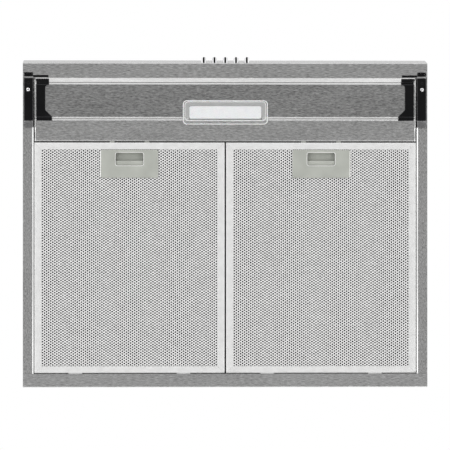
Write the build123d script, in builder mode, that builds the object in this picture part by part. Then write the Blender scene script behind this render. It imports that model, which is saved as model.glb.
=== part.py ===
"""A slim range hood, 600 mm wide, built as the separate pieces that it comes apart into.

Millimetres. +Z is up, -Y is the front with the buttons, +X is to the right of someone facing the hood.
The open rim of the canopy lies at Z = 0, and X = 0, Y = 0 is the middle of the overall outline.
"""

import os

from build123d import *

# Canopy
body_width = 600.0
body_depth = 486.6
body_height = 130.0
fascia_height = 45.0
fascia_lean = 6.0
top_depth = 320.0
sheet = 0.8
bend = 1.2
seam = 0.3
flat_fit = 0.3
front_strip_depth = 22.1
rear_strip_depth = 20.2
side_strip_width = 15.3
side_lip_height = 14.0
rivet_flange_width = 12.0

# Trough, lamp panel and its hem
trough_depth = 6.0
trough_front_run = 6.4
trough_front_rise = 4.0
trough_floor_front = 37.5
trough_floor_rear = 86.4
trough_foot = 90.2
panel_rear = 121.8
panel_recess = 2.0
panel_gap_to_side = 2.4
panel_end_height = 19.0
trough_bend = 3.5
hem_depth = 6.0
hem_round = 0.7

# Lamp
lamp_cover_width = 126.0
lamp_cover_depth = 35.8
lamp_cover_front = 61.1
lamp_cover_corner = 5.5
lamp_cover_wall = 1.6
lamp_cover_edge = 1.0
lamp_proud = 1.5
diffuser_width = 107.0
diffuser_depth = 18.8
diffuser_height = 9.0
diffuser_wall = 1.2
window_margin = 1.5
lamp_housing_height = 14.0
lamp_housing_margin = 5.0
led_board_thickness = 1.6
led_count = 6
led_size = 3.5
led_height = 1.0

# Buttons
button_count = 5
button_pitch = 16.0
button_diameter = 8.0
button_reach = 3.4
button_height = 12.0
button_travel = 3.0
button_spring_room = 6.0
button_length = 19.0
button_fit = 0.1
button_crown = 1.0
button_hole_diameter = 8.8
switch_block_depth = 17.0
switch_block_height = 22.0
switch_block_end = 14.0
switch_block_gap = 3.4

# Corner brackets, their clips and screws
rail_inset = 1.9
rail_width = 13.0
rail_length = 62.8
rail_thickness = 5.0
rail_edge = 0.9
seat_rear_margin = 12.0
cap_front_width = 18.8
cap_waist_width = 13.0
cap_rear_width = 23.2
cap_inset = 20.0
cap_front_length = 10.0
cap_flare_start = 47.0
cap_flare_end = 57.0
cap_thickness = 2.0
cap_round = 4.0
tongue_length = 6.5
tongue_thickness = 2.0
hook_bar_depth = 3.0
dimple_diameter = 3.4
dimple_depth = 1.2
dimple_from_rail_front = 7.2
recess_width = 13.3
recess_depth = 6.2
recess_front = 8.4
slot_width = 22.7
slot_depth = 3.4
slot_rear = 0.9
slot_height = 3.2
screw_inset = 7.8
screw_from_rail_front = 16.8
screw_head_diameter = 6.8
screw_head_height = 2.2
screw_crown = 0.9
screw_shank_diameter = 3.9
screw_length = 12.0
screw_clearance = 0.2
clip_depth = 9.6
clip_gap = 0.6
clip_thickness = 1.5
clip_round = 3.0

# Grease filters
filter_side_gap = 1.4
filter_middle_gap = 2.1
filter_front_gap = 1.8
filter_rear_gap = 0.6
filter_thickness = 8.5
filter_lip = 10.4
filter_sheet = 0.8
filter_corner = 2.0
mesh_sheet = 0.5
mesh_edge_fit = 0.3
layer_count = 3
layer_pitch = 1.2
tab_offset = 80.0
tab_width = 20.0
tab_reach = 5.0
tab_thickness = 1.0

# Filter latches
latch_width = 85.0
latch_depth = 41.3
latch_front_gap = 11.1
latch_corner = 3.0
latch_plate_thickness = 1.6
latch_proud = 0.8
latch_edge = 2.0
tray_wall = 1.5
tray_height = 6.2
tray_lid_thickness = 0.8
pocket_width = 41.2
pocket_depth = 19.1
pocket_front = 4.0
pocket_corner = 2.8
grip_depth = 6.9
grip_drop = 0.6
prong_offset = 26.0
prong_width = 7.0
prong_hook = 4.2
slide_thickness = 2.5
slide_bar_depth = 8.6
slide_fit = 0.3
rib_width = 3.0
spring_width = 5.0
spring_strip = 0.8
spring_folds = 3
spring_offset = 15.0

# Fan
blower_height = 68.0
housing_wall = 2.0
scroll_start_radius = 80.0
scroll_growth = 96.0
tongue_inset = 14.0
tongue_round = 4.0
fan_behind_top_edge = 156.0
outlet_end_gap = 12.0
boss_radius = 5.0
boss_screw_diameter = 3.5
inlet_radius = 54.0
inlet_throat = 51.0
inlet_ring_reach = 5.0
inlet_flange = 8.0
guard_bar = 1.6
guard_ring_radii = (16.0, 33.0)
guard_spokes = 6
impeller_radius = 72.0
impeller_eye = 60.0
impeller_floor_gap = 5.0
impeller_roof_gap = 6.0
impeller_sheet = 1.2
blade_count = 32
blade_sweep = 6.0
blade_bow = 10.0
blade_thickness = 1.0
cup_radius = 50.0
cup_shoulder = 56.0
hub_radius = 11.0
hub_height = 14.0
shaft_diameter = 8.0
shaft_fit = 0.05
motor_radius = 42.0
motor_neck_radius = 18.0
motor_cup_gap = 6.0
motor_mount_thickness = 3.0
motor_mount_radius = 64.0
motor_mount_round = 8.0
motor_screw_circle = 50.0
motor_fin_count = 12

# Duct collar and damper
duct_diameter = 119.0
duct_wall = 2.0
collar_height = 38.0
collar_flange = 12.0
collar_flange_thickness = 2.0
outlet_hole_diameter = 104.0
collar_from_rear = 73.0
collar_bolt_margin = 5.5
flap_thickness = 1.5
flap_fit = 1.2
flap_axis_offset = 3.5
flap_axis_height = 10.0
flap_barrel_radius = 2.0
flap_pin_radius = 1.2
flap_pin_fit = 0.05
flap_boss_length = 4.0
flap_boss_radius = 3.0

# Electrical pieces and mounting holes
mount_hole_diameter = 5.5
mount_spacing_x = 460.0
mount_spacing_y = 200.0
mount_from_rear = 150.0
gland_from_side = 85.0
gland_from_rear = 45.0
gland_radius = 9.0
gland_bore_radius = 4.0
gland_flange = 3.0
gland_height = 8.0
terminal_box_from_side = 150.0
terminal_box_size = (80.0, 50.0, 30.0)
terminal_box_wall = 2.0
capacitor_from_side = 65.0
capacitor_radius = 15.0
capacitor_height = 48.0
capacitor_strap = 1.5
electrics_from_rear = 105.0
small_screw_head = 3.2
small_screw_head_height = 1.8
housing_screw_length = 12.0
collar_screw_length = 7.0

# Places that follow from the sizes
half_width = body_width / 2
rear_y = (body_depth + button_reach) / 2
front_y = rear_y - body_depth
fascia_foot_y = front_y + fascia_lean
strip_rear_y = fascia_foot_y + front_strip_depth
slope_top_y = rear_y - top_depth
roof_z = body_height - sheet
rim_inner_x = half_width - side_strip_width
rear_strip_front_y = rear_y - rear_strip_depth
rail_front_y = strip_rear_y + seam
rail_rear_y = rail_front_y + rail_length
seat_rear_y = rail_rear_y + seat_rear_margin
panel_half_width = rim_inner_x - panel_gap_to_side
wall_top_y = strip_rear_y + trough_front_run
panel_front_y = wall_top_y + seam
floor_front_y = front_y + trough_floor_front
floor_rear_y = front_y + trough_floor_rear
wall_foot_y = front_y + trough_foot
panel_rear_y = front_y + panel_rear
hem_top_z = panel_recess + 2 * sheet
filter_front_y = panel_rear_y + filter_front_gap
filter_rear_y = rear_strip_front_y - filter_rear_gap
filter_depth = filter_rear_y - filter_front_y
filter_outer_x = rim_inner_x - filter_side_gap
filter_width = filter_outer_x - filter_middle_gap / 2
filter_x = (filter_outer_x + filter_middle_gap / 2) / 2
filter_y = (filter_front_y + filter_rear_y) / 2
filter_top_z = panel_recess + filter_thickness
lining_z = panel_recess + filter_sheet
latch_front_y = filter_front_y + latch_front_gap
latch_y = latch_front_y + latch_depth / 2
latch_bottom_z = panel_recess - latch_proud
latch_top_z = latch_bottom_z + latch_plate_thickness
tray_top_z = latch_top_z + tray_height
slide_z = hem_top_z + slide_fit
pocket_y = latch_front_y + pocket_front + pocket_depth / 2
grip_front_y = pocket_y + pocket_depth / 2 - grip_depth
blower_top_z = roof_z
lid_z = blower_top_z - housing_wall
floor_z = blower_top_z - blower_height
scroll_step = scroll_growth / 4
outlet_half_width = (scroll_growth + tongue_inset) / 2
fan_x = -outlet_half_width + tongue_inset + scroll_step / 2 - scroll_start_radius
fan_y = slope_top_y + fan_behind_top_edge
outlet_end_y = rear_y - outlet_end_gap
collar_y = rear_y - collar_from_rear
mount_y = rear_y - mount_from_rear
gland_x = half_width - gland_from_side
notch_run = trough_front_run * slot_height / trough_front_rise
terminal_box_x = half_width - terminal_box_from_side
capacitor_x = half_width - capacitor_from_side

os.makedirs("parts", exist_ok=True)


def write(part, name):
    """Labels one finished piece and writes it under its name."""
    part.label = name
    export_step(part, f"parts/{name}.step")


def mirrored(part):
    """The same piece for the other side of the hood."""
    with BuildPart() as other:
        mirror(part, about=Plane.YZ)
    return other.part


# Section through the whole canopy, seen from the right: outer and inner line of the sheet.
with BuildSketch(Plane.YZ) as canopy_outer:
    with BuildLine():
        Polyline(
            (fascia_foot_y, 0),
            (front_y, fascia_height),
            (slope_top_y, body_height),
            (rear_y, body_height),
            (rear_y, 0),
            close=True,
        )
    make_face()

with BuildSketch(Plane.YZ) as canopy_inner:
    offset(canopy_outer.sketch_local, amount=-sheet, kind=Kind.INTERSECTION)

# Top panel: flat sheet with the outlet, the four mounting holes and the cable hole.
collar_bolt_circle = duct_diameter / 2 + collar_flange - collar_bolt_margin
collar_bolts = PolarLocations(collar_bolt_circle, 4, start_angle=45).local_locations
collar_bolt_spots = [(spot.position.X, spot.position.Y + collar_y) for spot in collar_bolts]
with BuildPart() as top_panel:
    with BuildSketch(Plane.XY.offset(roof_z)):
        with Locations((0, rear_y - top_depth / 2)):
            Rectangle(body_width, top_depth)
        with Locations((0, collar_y)):
            Circle(outlet_hole_diameter / 2, mode=Mode.SUBTRACT)
        with Locations(*collar_bolt_spots):
            Circle(boss_screw_diameter / 2, mode=Mode.SUBTRACT)
        with Locations((0, mount_y)):
            with GridLocations(mount_spacing_x, mount_spacing_y, 2, 2):
                Circle(mount_hole_diameter / 2, mode=Mode.SUBTRACT)
        with Locations((gland_x, rear_y - gland_from_rear)):
            Circle(gland_radius + flat_fit, mode=Mode.SUBTRACT)
    extrude(amount=sheet)
write(top_panel.part, "top_panel")

# Sloped front panel, between the fascia and the top.
with BuildPart() as slope_panel:
    with BuildSketch(Plane.YZ) as slope_section:
        add(canopy_outer.sketch_local)
        add(canopy_inner.sketch_local, mode=Mode.SUBTRACT)
        slope_run = slope_top_y - front_y
        slope_rise = body_height - fascia_height
        with Locations((front_y + slope_run / 2, fascia_height + slope_rise / 2)):
            Rectangle(slope_run, slope_rise, mode=Mode.INTERSECT)
    extrude(amount=half_width, both=True)
write(slope_panel.part, "slope_panel")

# Back panel, turned under as the rear strip, whose front edge is hemmed.
with BuildPart() as back_panel:
    with BuildSketch(Plane.YZ):
        with BuildLine():
            FilletPolyline((rear_y, roof_z), (rear_y, 0), (rear_strip_front_y, 0), radius=bend)
            offset(amount=sheet, side=Side.RIGHT)
        make_face()
    extrude(amount=half_width, both=True)
    with BuildSketch(Plane.YZ):
        with Locations((rear_strip_front_y + hem_depth / 2, sheet)):
            Rectangle(hem_depth, 2 * sheet)
    extrude(amount=rim_inner_x, both=True)
write(back_panel.part, "back_panel")

# Side panel: the canopy's own section, folded in as the side strip, which ends in an upright lip.
# In front, the strip makes room for the corner bracket and continues as a raised seat over it.
strip_front_y = seat_rear_y
strip_rear_end_y = rear_strip_front_y - seam
with BuildPart() as side_panel_left:
    with BuildSketch(Plane.YZ.offset(-half_width)):
        add(canopy_inner.sketch_local)
        for start_y, end_y in ((front_y, rail_front_y), (strip_rear_end_y, rear_y)):
            with Locations(((start_y + end_y) / 2, 0)):
                Rectangle(end_y - start_y, 2 * (sheet + seam), mode=Mode.SUBTRACT)
    extrude(amount=sheet)
    with BuildSketch(Plane.XZ.offset(-strip_rear_end_y)):
        with BuildLine():
            FilletPolyline(
                (-half_width, 3 * bend),
                (-half_width, 0),
                (-rim_inner_x, 0),
                (-rim_inner_x, side_lip_height),
                radius=bend + sheet,
            )
            offset(amount=sheet, side=Side.LEFT)
        make_face()
    extrude(amount=strip_rear_end_y - strip_front_y)
    seat_z = rail_thickness
    seat_middle_x = -(half_width + rim_inner_x) / 2
    seat_middle_y = (rail_front_y + seat_rear_y) / 2
    with BuildSketch(Plane.XY.offset(seat_z)):
        with Locations((seat_middle_x, seat_middle_y)):
            Rectangle(side_strip_width, seat_rear_y - rail_front_y)
        with Locations((-half_width + screw_inset, rail_front_y + screw_from_rail_front)):
            Circle(screw_shank_diameter / 2 + screw_clearance, mode=Mode.SUBTRACT)
    extrude(amount=sheet)
    with BuildSketch(Plane.XY.offset(seat_z)):
        with Locations((-rim_inner_x - sheet / 2, seat_middle_y)):
            Rectangle(sheet, seat_rear_y - rail_front_y)
    extrude(amount=side_lip_height - seat_z)
    with BuildSketch(Plane.XY.offset(sheet)):
        with Locations((seat_middle_x, seat_rear_y + sheet / 2)):
            Rectangle(side_strip_width - 2 * sheet, sheet)
    extrude(amount=seat_z)
    flange_front_y = slope_top_y + rivet_flange_width
    flange_length = rear_y - rivet_flange_width - flange_front_y
    with BuildSketch(Plane.XY.offset(roof_z - sheet)):
        with Locations((-half_width + rivet_flange_width / 2, flange_front_y + flange_length / 2)):
            Rectangle(rivet_flange_width, flange_length)
    extrude(amount=sheet)
side_panel_right = mirrored(side_panel_left.part)
write(side_panel_left.part, "side_panel_left")
write(side_panel_right, "side_panel_right")

# Front fascia: leaning face, front strip and the front wall of the trough in one folded sheet.
button_spots = GridLocations(button_pitch, button_pitch, button_count, 1).local_locations
button_xs = [spot.position.X for spot in button_spots]
with BuildPart() as front_fascia:
    with BuildSketch(Plane.YZ):
        with BuildLine():
            FilletPolyline(
                (front_y, fascia_height),
                (fascia_foot_y, 0),
                (strip_rear_y, 0),
                (wall_top_y, trough_front_rise),
                radius=bend,
            )
            offset(amount=sheet, side=Side.LEFT)
        make_face()
    extrude(amount=half_width, both=True)
    with BuildSketch(Plane.XY.offset(fascia_height)):
        with Locations((0, front_y)):
            Rectangle(body_width, body_depth)
    extrude(amount=sheet, mode=Mode.SUBTRACT)
    # The trough wall stops short of the upright ends of the lamp panel.
    wall_end_width = half_width - panel_half_width + sheet + seam
    with BuildSketch(Plane.XY.offset(-sheet)):
        for side in (-1, 1):
            with Locations((side * (half_width - wall_end_width / 2), wall_top_y)):
                Rectangle(wall_end_width, 2 * (wall_top_y - strip_rear_y))
    extrude(amount=trough_front_rise + 2 * sheet, mode=Mode.SUBTRACT)
    with BuildSketch(Plane.XY.offset(sheet)):
        for side in (-1, 1):
            with Locations((side * (half_width - wall_end_width / 2), strip_rear_y)):
                Rectangle(wall_end_width, 4 * bend)
    extrude(amount=trough_front_rise, mode=Mode.SUBTRACT)
    # Recess in the strip and notch through its fold, where the corner bracket is hooked in.
    with BuildSketch(Plane.XY.offset(-sheet)):
        for side in (-1, 1):
            recess_x = half_width - rail_inset - recess_width / 2
            with Locations((side * recess_x, strip_rear_y - recess_front + recess_depth / 2)):
                Rectangle(recess_width, recess_depth)
            slot_x = rim_inner_x - slot_width / 2
            with Locations((side * slot_x, strip_rear_y - slot_rear - slot_depth / 2)):
                Rectangle(slot_width, slot_depth)
    extrude(amount=3 * sheet, mode=Mode.SUBTRACT)
    with BuildSketch(Plane.XY.offset(sheet)):
        for side in (-1, 1):
            with Locations((side * slot_x, strip_rear_y)):
                Rectangle(slot_width, 2 * (notch_run + sheet))
    extrude(amount=slot_height - sheet, mode=Mode.SUBTRACT)
    with BuildSketch(Plane.XZ.offset(-fascia_foot_y - fascia_lean)):
        for x in button_xs:
            with Locations((x, button_height)):
                Circle(button_hole_diameter / 2)
    extrude(amount=4 * fascia_lean, mode=Mode.SUBTRACT)
write(front_fascia.part, "front_fascia")

# Lamp panel: bevel, trough floor, curved rear wall and flat strip, folded up at both ends.
window_front_y = front_y + lamp_cover_front + (lamp_cover_depth - diffuser_depth) / 2
window_y = window_front_y + diffuser_depth / 2
panel_points = (
    (panel_front_y, trough_front_rise),
    (floor_front_y, trough_depth),
    (floor_rear_y, trough_depth),
    (wall_foot_y, panel_recess),
    (panel_rear_y, panel_recess),
)
panel_bends = (bend, trough_bend, trough_bend)


def panel_band(width):
    """Section between the panel's underside and a line above it (or below, if width is negative)."""
    with BuildSketch(Plane.YZ) as band:
        with BuildLine():
            FilletPolyline(*panel_points, radius=panel_bends)
            offset(amount=abs(width), side=Side.LEFT if width > 0 else Side.RIGHT)
        make_face()
    return band.sketch_local


with BuildPart() as lamp_panel:
    with BuildSketch(Plane.YZ):
        add(panel_band(sheet))
        with Locations((panel_rear_y - hem_depth / 2, panel_recess + sheet)):
            Rectangle(hem_depth, 2 * sheet)
    extrude(amount=panel_half_width, both=True)
    hem_edges = lamp_panel.edges().filter_by(Axis.X).group_by(Axis.Y)[-1]
    fillet(hem_edges, radius=hem_round)
    panel_end_front_y = strip_rear_y + seam
    panel_end_length = panel_rear_y - hem_round - panel_end_front_y
    with BuildSketch(Plane.XY.offset(panel_recess)):
        with Locations((0, panel_end_front_y + panel_end_length / 2)):
            with GridLocations(2 * panel_half_width - sheet, 0, 2, 1):
                Rectangle(sheet, panel_end_length)
    extrude(amount=panel_end_height)
    with BuildSketch(Plane.XY.offset(panel_recess - sheet)):
        with Locations((0, window_y)):
            Rectangle(diffuser_width + 2 * window_margin, diffuser_depth + 2 * window_margin)
    extrude(amount=trough_depth + sheet, mode=Mode.SUBTRACT)
write(lamp_panel.part, "lamp_panel")

# Lamp cover: clear tray over the trough, cut to the panel's own section at the back.
lamp_z = panel_recess - lamp_proud
lamp_y = front_y + lamp_cover_front + lamp_cover_depth / 2
with BuildPart() as lamp_cover:
    with BuildSketch(Plane.XY.offset(lamp_z)):
        with Locations((0, lamp_y)):
            RectangleRounded(lamp_cover_width, lamp_cover_depth, lamp_cover_corner)
    extrude(amount=trough_depth - lamp_z - flat_fit)
    fillet(lamp_cover.faces().sort_by(Axis.Z)[0].edges(), radius=lamp_cover_edge)
    with BuildSketch(Plane.XY.offset(lamp_z + lamp_cover_wall)):
        with Locations((0, lamp_y)):
            RectangleRounded(
                lamp_cover_width - 2 * lamp_cover_wall,
                lamp_cover_depth - 2 * lamp_cover_wall,
                lamp_cover_corner - lamp_cover_wall,
            )
    extrude(amount=trough_depth, mode=Mode.SUBTRACT)
    with BuildSketch(Plane.YZ):
        with BuildLine():
            Polyline(
                (floor_rear_y - trough_bend, trough_depth),
                (wall_foot_y - flat_fit, panel_recess),
                (panel_rear_y, panel_recess),
                (panel_rear_y, 2 * trough_depth),
                (floor_rear_y - trough_bend, 2 * trough_depth),
                close=True,
            )
        make_face()
    extrude(amount=half_width, both=True, mode=Mode.SUBTRACT)
write(lamp_cover.part, "lamp_cover")

# White diffuser: tray with open top, standing on the inside of the cover.
diffuser_z = lamp_z + lamp_cover_wall + flat_fit / 2
with BuildPart() as lamp_diffuser:
    with BuildSketch(Plane.XY.offset(diffuser_z)):
        with Locations((0, window_y)):
            RectangleRounded(diffuser_width, diffuser_depth, diffuser_wall)
    extrude(amount=diffuser_height)
    with BuildSketch(Plane.XY.offset(diffuser_z + diffuser_wall)):
        with Locations((0, window_y)):
            Rectangle(diffuser_width - 2 * diffuser_wall, diffuser_depth - 2 * diffuser_wall)
    extrude(amount=diffuser_height, mode=Mode.SUBTRACT)
write(lamp_diffuser.part, "lamp_diffuser")

# Lamp housing above the window, with the posts that the board hangs from.
housing_floor_z = trough_depth + sheet
housing_width = diffuser_width + 2 * (window_margin + lamp_housing_margin)
housing_depth = diffuser_depth + 2 * (window_margin + lamp_housing_margin)
board_width = diffuser_width - 4 * diffuser_wall
board_depth = diffuser_depth - 2 * diffuser_wall
board_top_z = housing_floor_z + lamp_housing_height / 2
with BuildPart() as lamp_housing:
    with BuildSketch(Plane.XY.offset(housing_floor_z)):
        with Locations((0, window_y)):
            RectangleRounded(housing_width, housing_depth, lamp_cover_wall)
    extrude(amount=lamp_housing_height)
    with BuildSketch(Plane.XY.offset(housing_floor_z)):
        with Locations((0, window_y)):
            Rectangle(housing_width - 2 * diffuser_wall, housing_depth - 2 * diffuser_wall)
    extrude(amount=lamp_housing_height - diffuser_wall, mode=Mode.SUBTRACT)
    with BuildSketch(Plane.XY.offset(board_top_z)):
        with Locations((0, window_y)):
            with GridLocations(board_width - 4 * led_size, 0, 2, 1):
                Circle(led_size / 2)
    extrude(amount=lamp_housing_height / 2)
write(lamp_housing.part, "lamp_housing")

with BuildPart() as led_board:
    with BuildSketch(Plane.XY.offset(board_top_z)):
        with Locations((0, window_y)):
            Rectangle(board_width, board_depth)
    extrude(amount=-led_board_thickness)
    with BuildSketch(Plane.XY.offset(board_top_z - led_board_thickness)):
        with Locations((0, window_y)):
            with GridLocations(board_width / led_count, led_size, led_count, 1):
                Rectangle(led_size, led_size)
    extrude(amount=-led_height)
write(led_board.part, "led_board")

# Switch block behind the fascia, bored for the five buttons.
block_front_y = fascia_foot_y + switch_block_gap
button_tip_y = -rear_y
bore_radius = button_diameter / 2 + button_fit
bore_end_y = button_tip_y + button_length + button_travel + button_spring_room
with BuildPart() as switch_block:
    block_width = (button_count - 1) * button_pitch + 2 * switch_block_end
    with BuildSketch(Plane.XY.offset(sheet)):
        with Locations((0, block_front_y + switch_block_depth / 2)):
            RectangleRounded(block_width, switch_block_depth, 2 * bend)
    extrude(amount=switch_block_height)
    with BuildSketch(Plane.XZ.offset(-block_front_y)):
        for x in button_xs:
            with Locations((x, button_height)):
                Circle(bore_radius)
    extrude(amount=block_front_y - bore_end_y, mode=Mode.SUBTRACT)
write(switch_block.part, "switch_block")

# Push buttons: chrome caps with a domed end, each in its own bore.
for number, x in enumerate(button_xs, start=1):
    with BuildPart() as push_button:
        with BuildSketch(Plane.XZ.offset(-button_tip_y)):
            with Locations((x, button_height)):
                Circle(button_diameter / 2)
        extrude(amount=-button_length)
        fillet(push_button.faces().sort_by(Axis.Y)[0].edges(), radius=button_crown)
    write(push_button.part, f"push_button_{number}")

# Corner bracket: one black moulding. Its rail fills the gap in the side strip, its cap lines the end
# of the trough, and a bar behind the front strip, hooked through recess and notch, joins the two.
rail_x = -half_width + rail_inset + rail_width / 2
screw_x = -half_width + screw_inset
screw_y = rail_front_y + screw_from_rail_front
cap_edge_x = -half_width + cap_inset
hook_z = tongue_thickness / 2
hook_bar_y = strip_rear_y - slot_rear - slot_depth / 2
hook_rear_y = strip_rear_y + notch_run + sheet / 2
hook_inner_x = slot_width - rim_inner_x - seam
with BuildPart() as corner_bracket_left:
    with BuildSketch():
        with Locations((rail_x, rail_front_y + rail_length / 2)):
            RectangleRounded(rail_width, rail_length, bend)
    extrude(amount=rail_thickness)
    fillet(corner_bracket_left.faces().sort_by(Axis.Z)[0].edges(), radius=rail_edge)
    with BuildSketch(Plane.XY.offset(hook_z)):
        with Locations((rail_x, rail_front_y - tongue_length / 2 + rail_edge)):
            Rectangle(rail_width - 2 * bend, tongue_length + 2 * rail_edge)
        with Locations(((rail_x + hook_inner_x) / 2, hook_bar_y)):
            Rectangle(hook_inner_x - rail_x, hook_bar_depth)
        with Locations(((cap_edge_x + hook_inner_x) / 2, (hook_bar_y + hook_rear_y) / 2)):
            Rectangle(hook_inner_x - cap_edge_x, hook_rear_y - hook_bar_y)
    extrude(amount=tongue_thickness)
    with BuildSketch(Plane.XY) as cap_plan:
        with BuildLine():
            Polyline(
                (cap_edge_x, rail_front_y),
                (cap_edge_x + cap_front_width, rail_front_y),
                (cap_edge_x + cap_front_width, rail_front_y + cap_front_length),
                (cap_edge_x + cap_waist_width, rail_front_y + cap_front_length),
                (cap_edge_x + cap_waist_width, rail_front_y + cap_flare_start),
                (cap_edge_x + cap_rear_width, rail_front_y + cap_flare_end),
                (cap_edge_x + cap_rear_width, rail_front_y + rail_length),
                (cap_edge_x, rail_front_y + rail_length),
                close=True,
            )
        make_face()
        fillet(cap_plan.vertices().group_by(Axis.X)[1], radius=cap_round)
    cap_solid = extrude(amount=trough_depth, mode=Mode.PRIVATE)
    with BuildSketch(Plane.YZ.offset(cap_edge_x)) as cap_section:
        with BuildLine():
            trough_line = FilletPolyline(
                (strip_rear_y, 0),
                (wall_top_y, trough_front_rise),
                (floor_front_y, trough_depth),
                (floor_rear_y, trough_depth),
                (wall_foot_y, panel_recess),
                (panel_rear_y, panel_recess),
                radius=(bend, bend, trough_bend, trough_bend),
            )
            Polyline(trough_line @ 1, (panel_rear_y, 0), trough_line @ 0)
        make_face()
        offset(amount=-flat_fit, kind=Kind.INTERSECTION)
        offset(cap_section.sketch_local, amount=-cap_thickness, kind=Kind.INTERSECTION, mode=Mode.SUBTRACT)
        open_length = wall_foot_y - strip_rear_y - 2 * cap_thickness - trough_front_run
        with Locations(((wall_foot_y + strip_rear_y + trough_front_run) / 2 - cap_thickness, 0)):
            Rectangle(open_length, trough_depth, mode=Mode.SUBTRACT)
    cap_band = extrude(amount=cap_rear_width + cap_round, mode=Mode.PRIVATE)
    add(cap_solid & cap_band)
    with Locations((screw_x, screw_y, 0)):
        Hole(screw_shank_diameter / 2 + screw_clearance)
    with BuildSketch():
        with Locations((screw_x, screw_y)):
            Circle(screw_head_diameter / 2 + screw_clearance)
    extrude(amount=screw_head_height + screw_clearance, mode=Mode.SUBTRACT)
    with BuildSketch():
        with Locations((screw_x, rail_front_y + dimple_from_rail_front)):
            Circle(dimple_diameter / 2)
    extrude(amount=dimple_depth, mode=Mode.SUBTRACT)
corner_bracket_right = mirrored(corner_bracket_left.part)
write(corner_bracket_left.part, "corner_bracket_left")
write(corner_bracket_right, "corner_bracket_right")

# Bracket screws: pan heads let into the rails, shanks through the raised seat.
with BuildPart() as bracket_screws:
    for side in (-1, 1):
        head_z = screw_clearance / 2
        with BuildSketch(Plane.XY.offset(head_z)):
            with Locations((side * screw_x, screw_y)):
                Circle(screw_head_diameter / 2)
        extrude(amount=screw_head_height)
        with BuildSketch(Plane.XY.offset(head_z + screw_head_height)):
            with Locations((side * screw_x, screw_y)):
                Circle(screw_shank_diameter / 2)
        extrude(amount=screw_length)
    fillet(bracket_screws.edges().group_by(Axis.Z)[0], radius=screw_crown)
write(bracket_screws.part, "bracket_screws")

# Steel clip behind each bracket, hung from the raised seat.
clip_front_y = rail_rear_y + clip_gap
clip_width = side_strip_width - sheet - clip_gap
clip_x = -rim_inner_x - seam - clip_width / 2
with BuildPart() as bracket_clip_left:
    with BuildSketch() as clip_plan:
        with Locations((clip_x, clip_front_y + clip_depth / 2)):
            Rectangle(clip_width, clip_depth)
        fillet(clip_plan.vertices().group_by(Axis.Y)[-1], radius=clip_round)
    extrude(amount=clip_thickness)
    with BuildSketch():
        with Locations((clip_x, clip_front_y + clip_thickness / 2)):
            Rectangle(clip_width / 2, clip_thickness)
    extrude(amount=rail_thickness)
bracket_clip_right = mirrored(bracket_clip_left.part)
write(bracket_clip_left.part, "bracket_clip_left")
write(bracket_clip_right, "bracket_clip_right")


# Grease filters. Each is a channel frame round a face mesh, inner layers and a back mesh.
prong_front_y = panel_rear_y - prong_hook
prong_slot_height = slide_thickness + 2 * slide_fit
tray_width = latch_width - 2 * latch_edge
tray_depth = latch_depth - 2 * latch_edge
tray_inner_rear_y = latch_y + tray_depth / 2 - tray_wall
bar_front_y = grip_front_y
bar_rear_y = bar_front_y + slide_bar_depth
arm_xs = (-prong_offset, prong_offset)


def filter_frame(center_x):
    """Channel frame, with slots for the latch prongs in front and two tabs behind."""
    with BuildPart() as frame:
        with BuildSketch(Plane.XY.offset(panel_recess)):
            with Locations((center_x, filter_y)):
                RectangleRounded(filter_width, filter_depth, filter_corner)
        extrude(amount=filter_thickness)
        with BuildSketch(Plane.XY.offset(lining_z)):
            with Locations((center_x, filter_y)):
                Rectangle(filter_width - 2 * filter_sheet, filter_depth - 2 * filter_sheet)
        extrude(amount=filter_thickness - 2 * filter_sheet, mode=Mode.SUBTRACT)
        with BuildSketch(Plane.XY.offset(panel_recess)):
            with Locations((center_x, filter_y)):
                Rectangle(filter_width - 2 * filter_lip, filter_depth - 2 * filter_lip)
        extrude(amount=filter_thickness, mode=Mode.SUBTRACT)
        with BuildSketch(Plane.XZ.offset(-filter_front_y)):
            for x in arm_xs:
                with Locations((center_x + x, slide_z - slide_fit + prong_slot_height / 2)):
                    Rectangle(prong_width + 2 * slide_fit, prong_slot_height)
        extrude(amount=-filter_sheet, mode=Mode.SUBTRACT)
        with BuildSketch(Plane.XY.offset(panel_recess)):
            for x in (-tab_offset, tab_offset):
                with Locations((center_x + x, filter_rear_y + tab_reach / 2 - filter_sheet / 2)):
                    Rectangle(tab_width, tab_reach + filter_sheet)
        extrude(amount=tab_thickness)
    return frame.part


def filter_sheet_plan(center_x, z, passes_prongs):
    """Outline of one mesh layer at height z, cut out round the latch."""
    inset = filter_sheet + mesh_edge_fit
    with BuildSketch(Plane.XY.offset(z)) as plan:
        with Locations((center_x, filter_y)):
            Rectangle(filter_width - 2 * inset, filter_depth - 2 * inset)
        with Locations((center_x, latch_y)):
            Rectangle(tray_width + 2 * flat_fit, tray_depth + 2 * flat_fit, mode=Mode.SUBTRACT)
        if passes_prongs:
            prong_room = 2 * prong_offset + prong_width + 4 * slide_fit
            with Locations((center_x, filter_front_y + latch_front_gap / 2)):
                Rectangle(prong_room, latch_front_gap + 2 * latch_edge, mode=Mode.SUBTRACT)
    return plan.sketch_local


def filter_mesh(center_x, heights, passes_prongs):
    """Flat mesh sheets at the given heights."""
    with BuildPart() as mesh:
        for z in heights:
            with BuildSketch(Plane.XY.offset(z)):
                add(filter_sheet_plan(center_x, 0, passes_prongs))
            extrude(amount=mesh_sheet)
    return mesh.part


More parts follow.
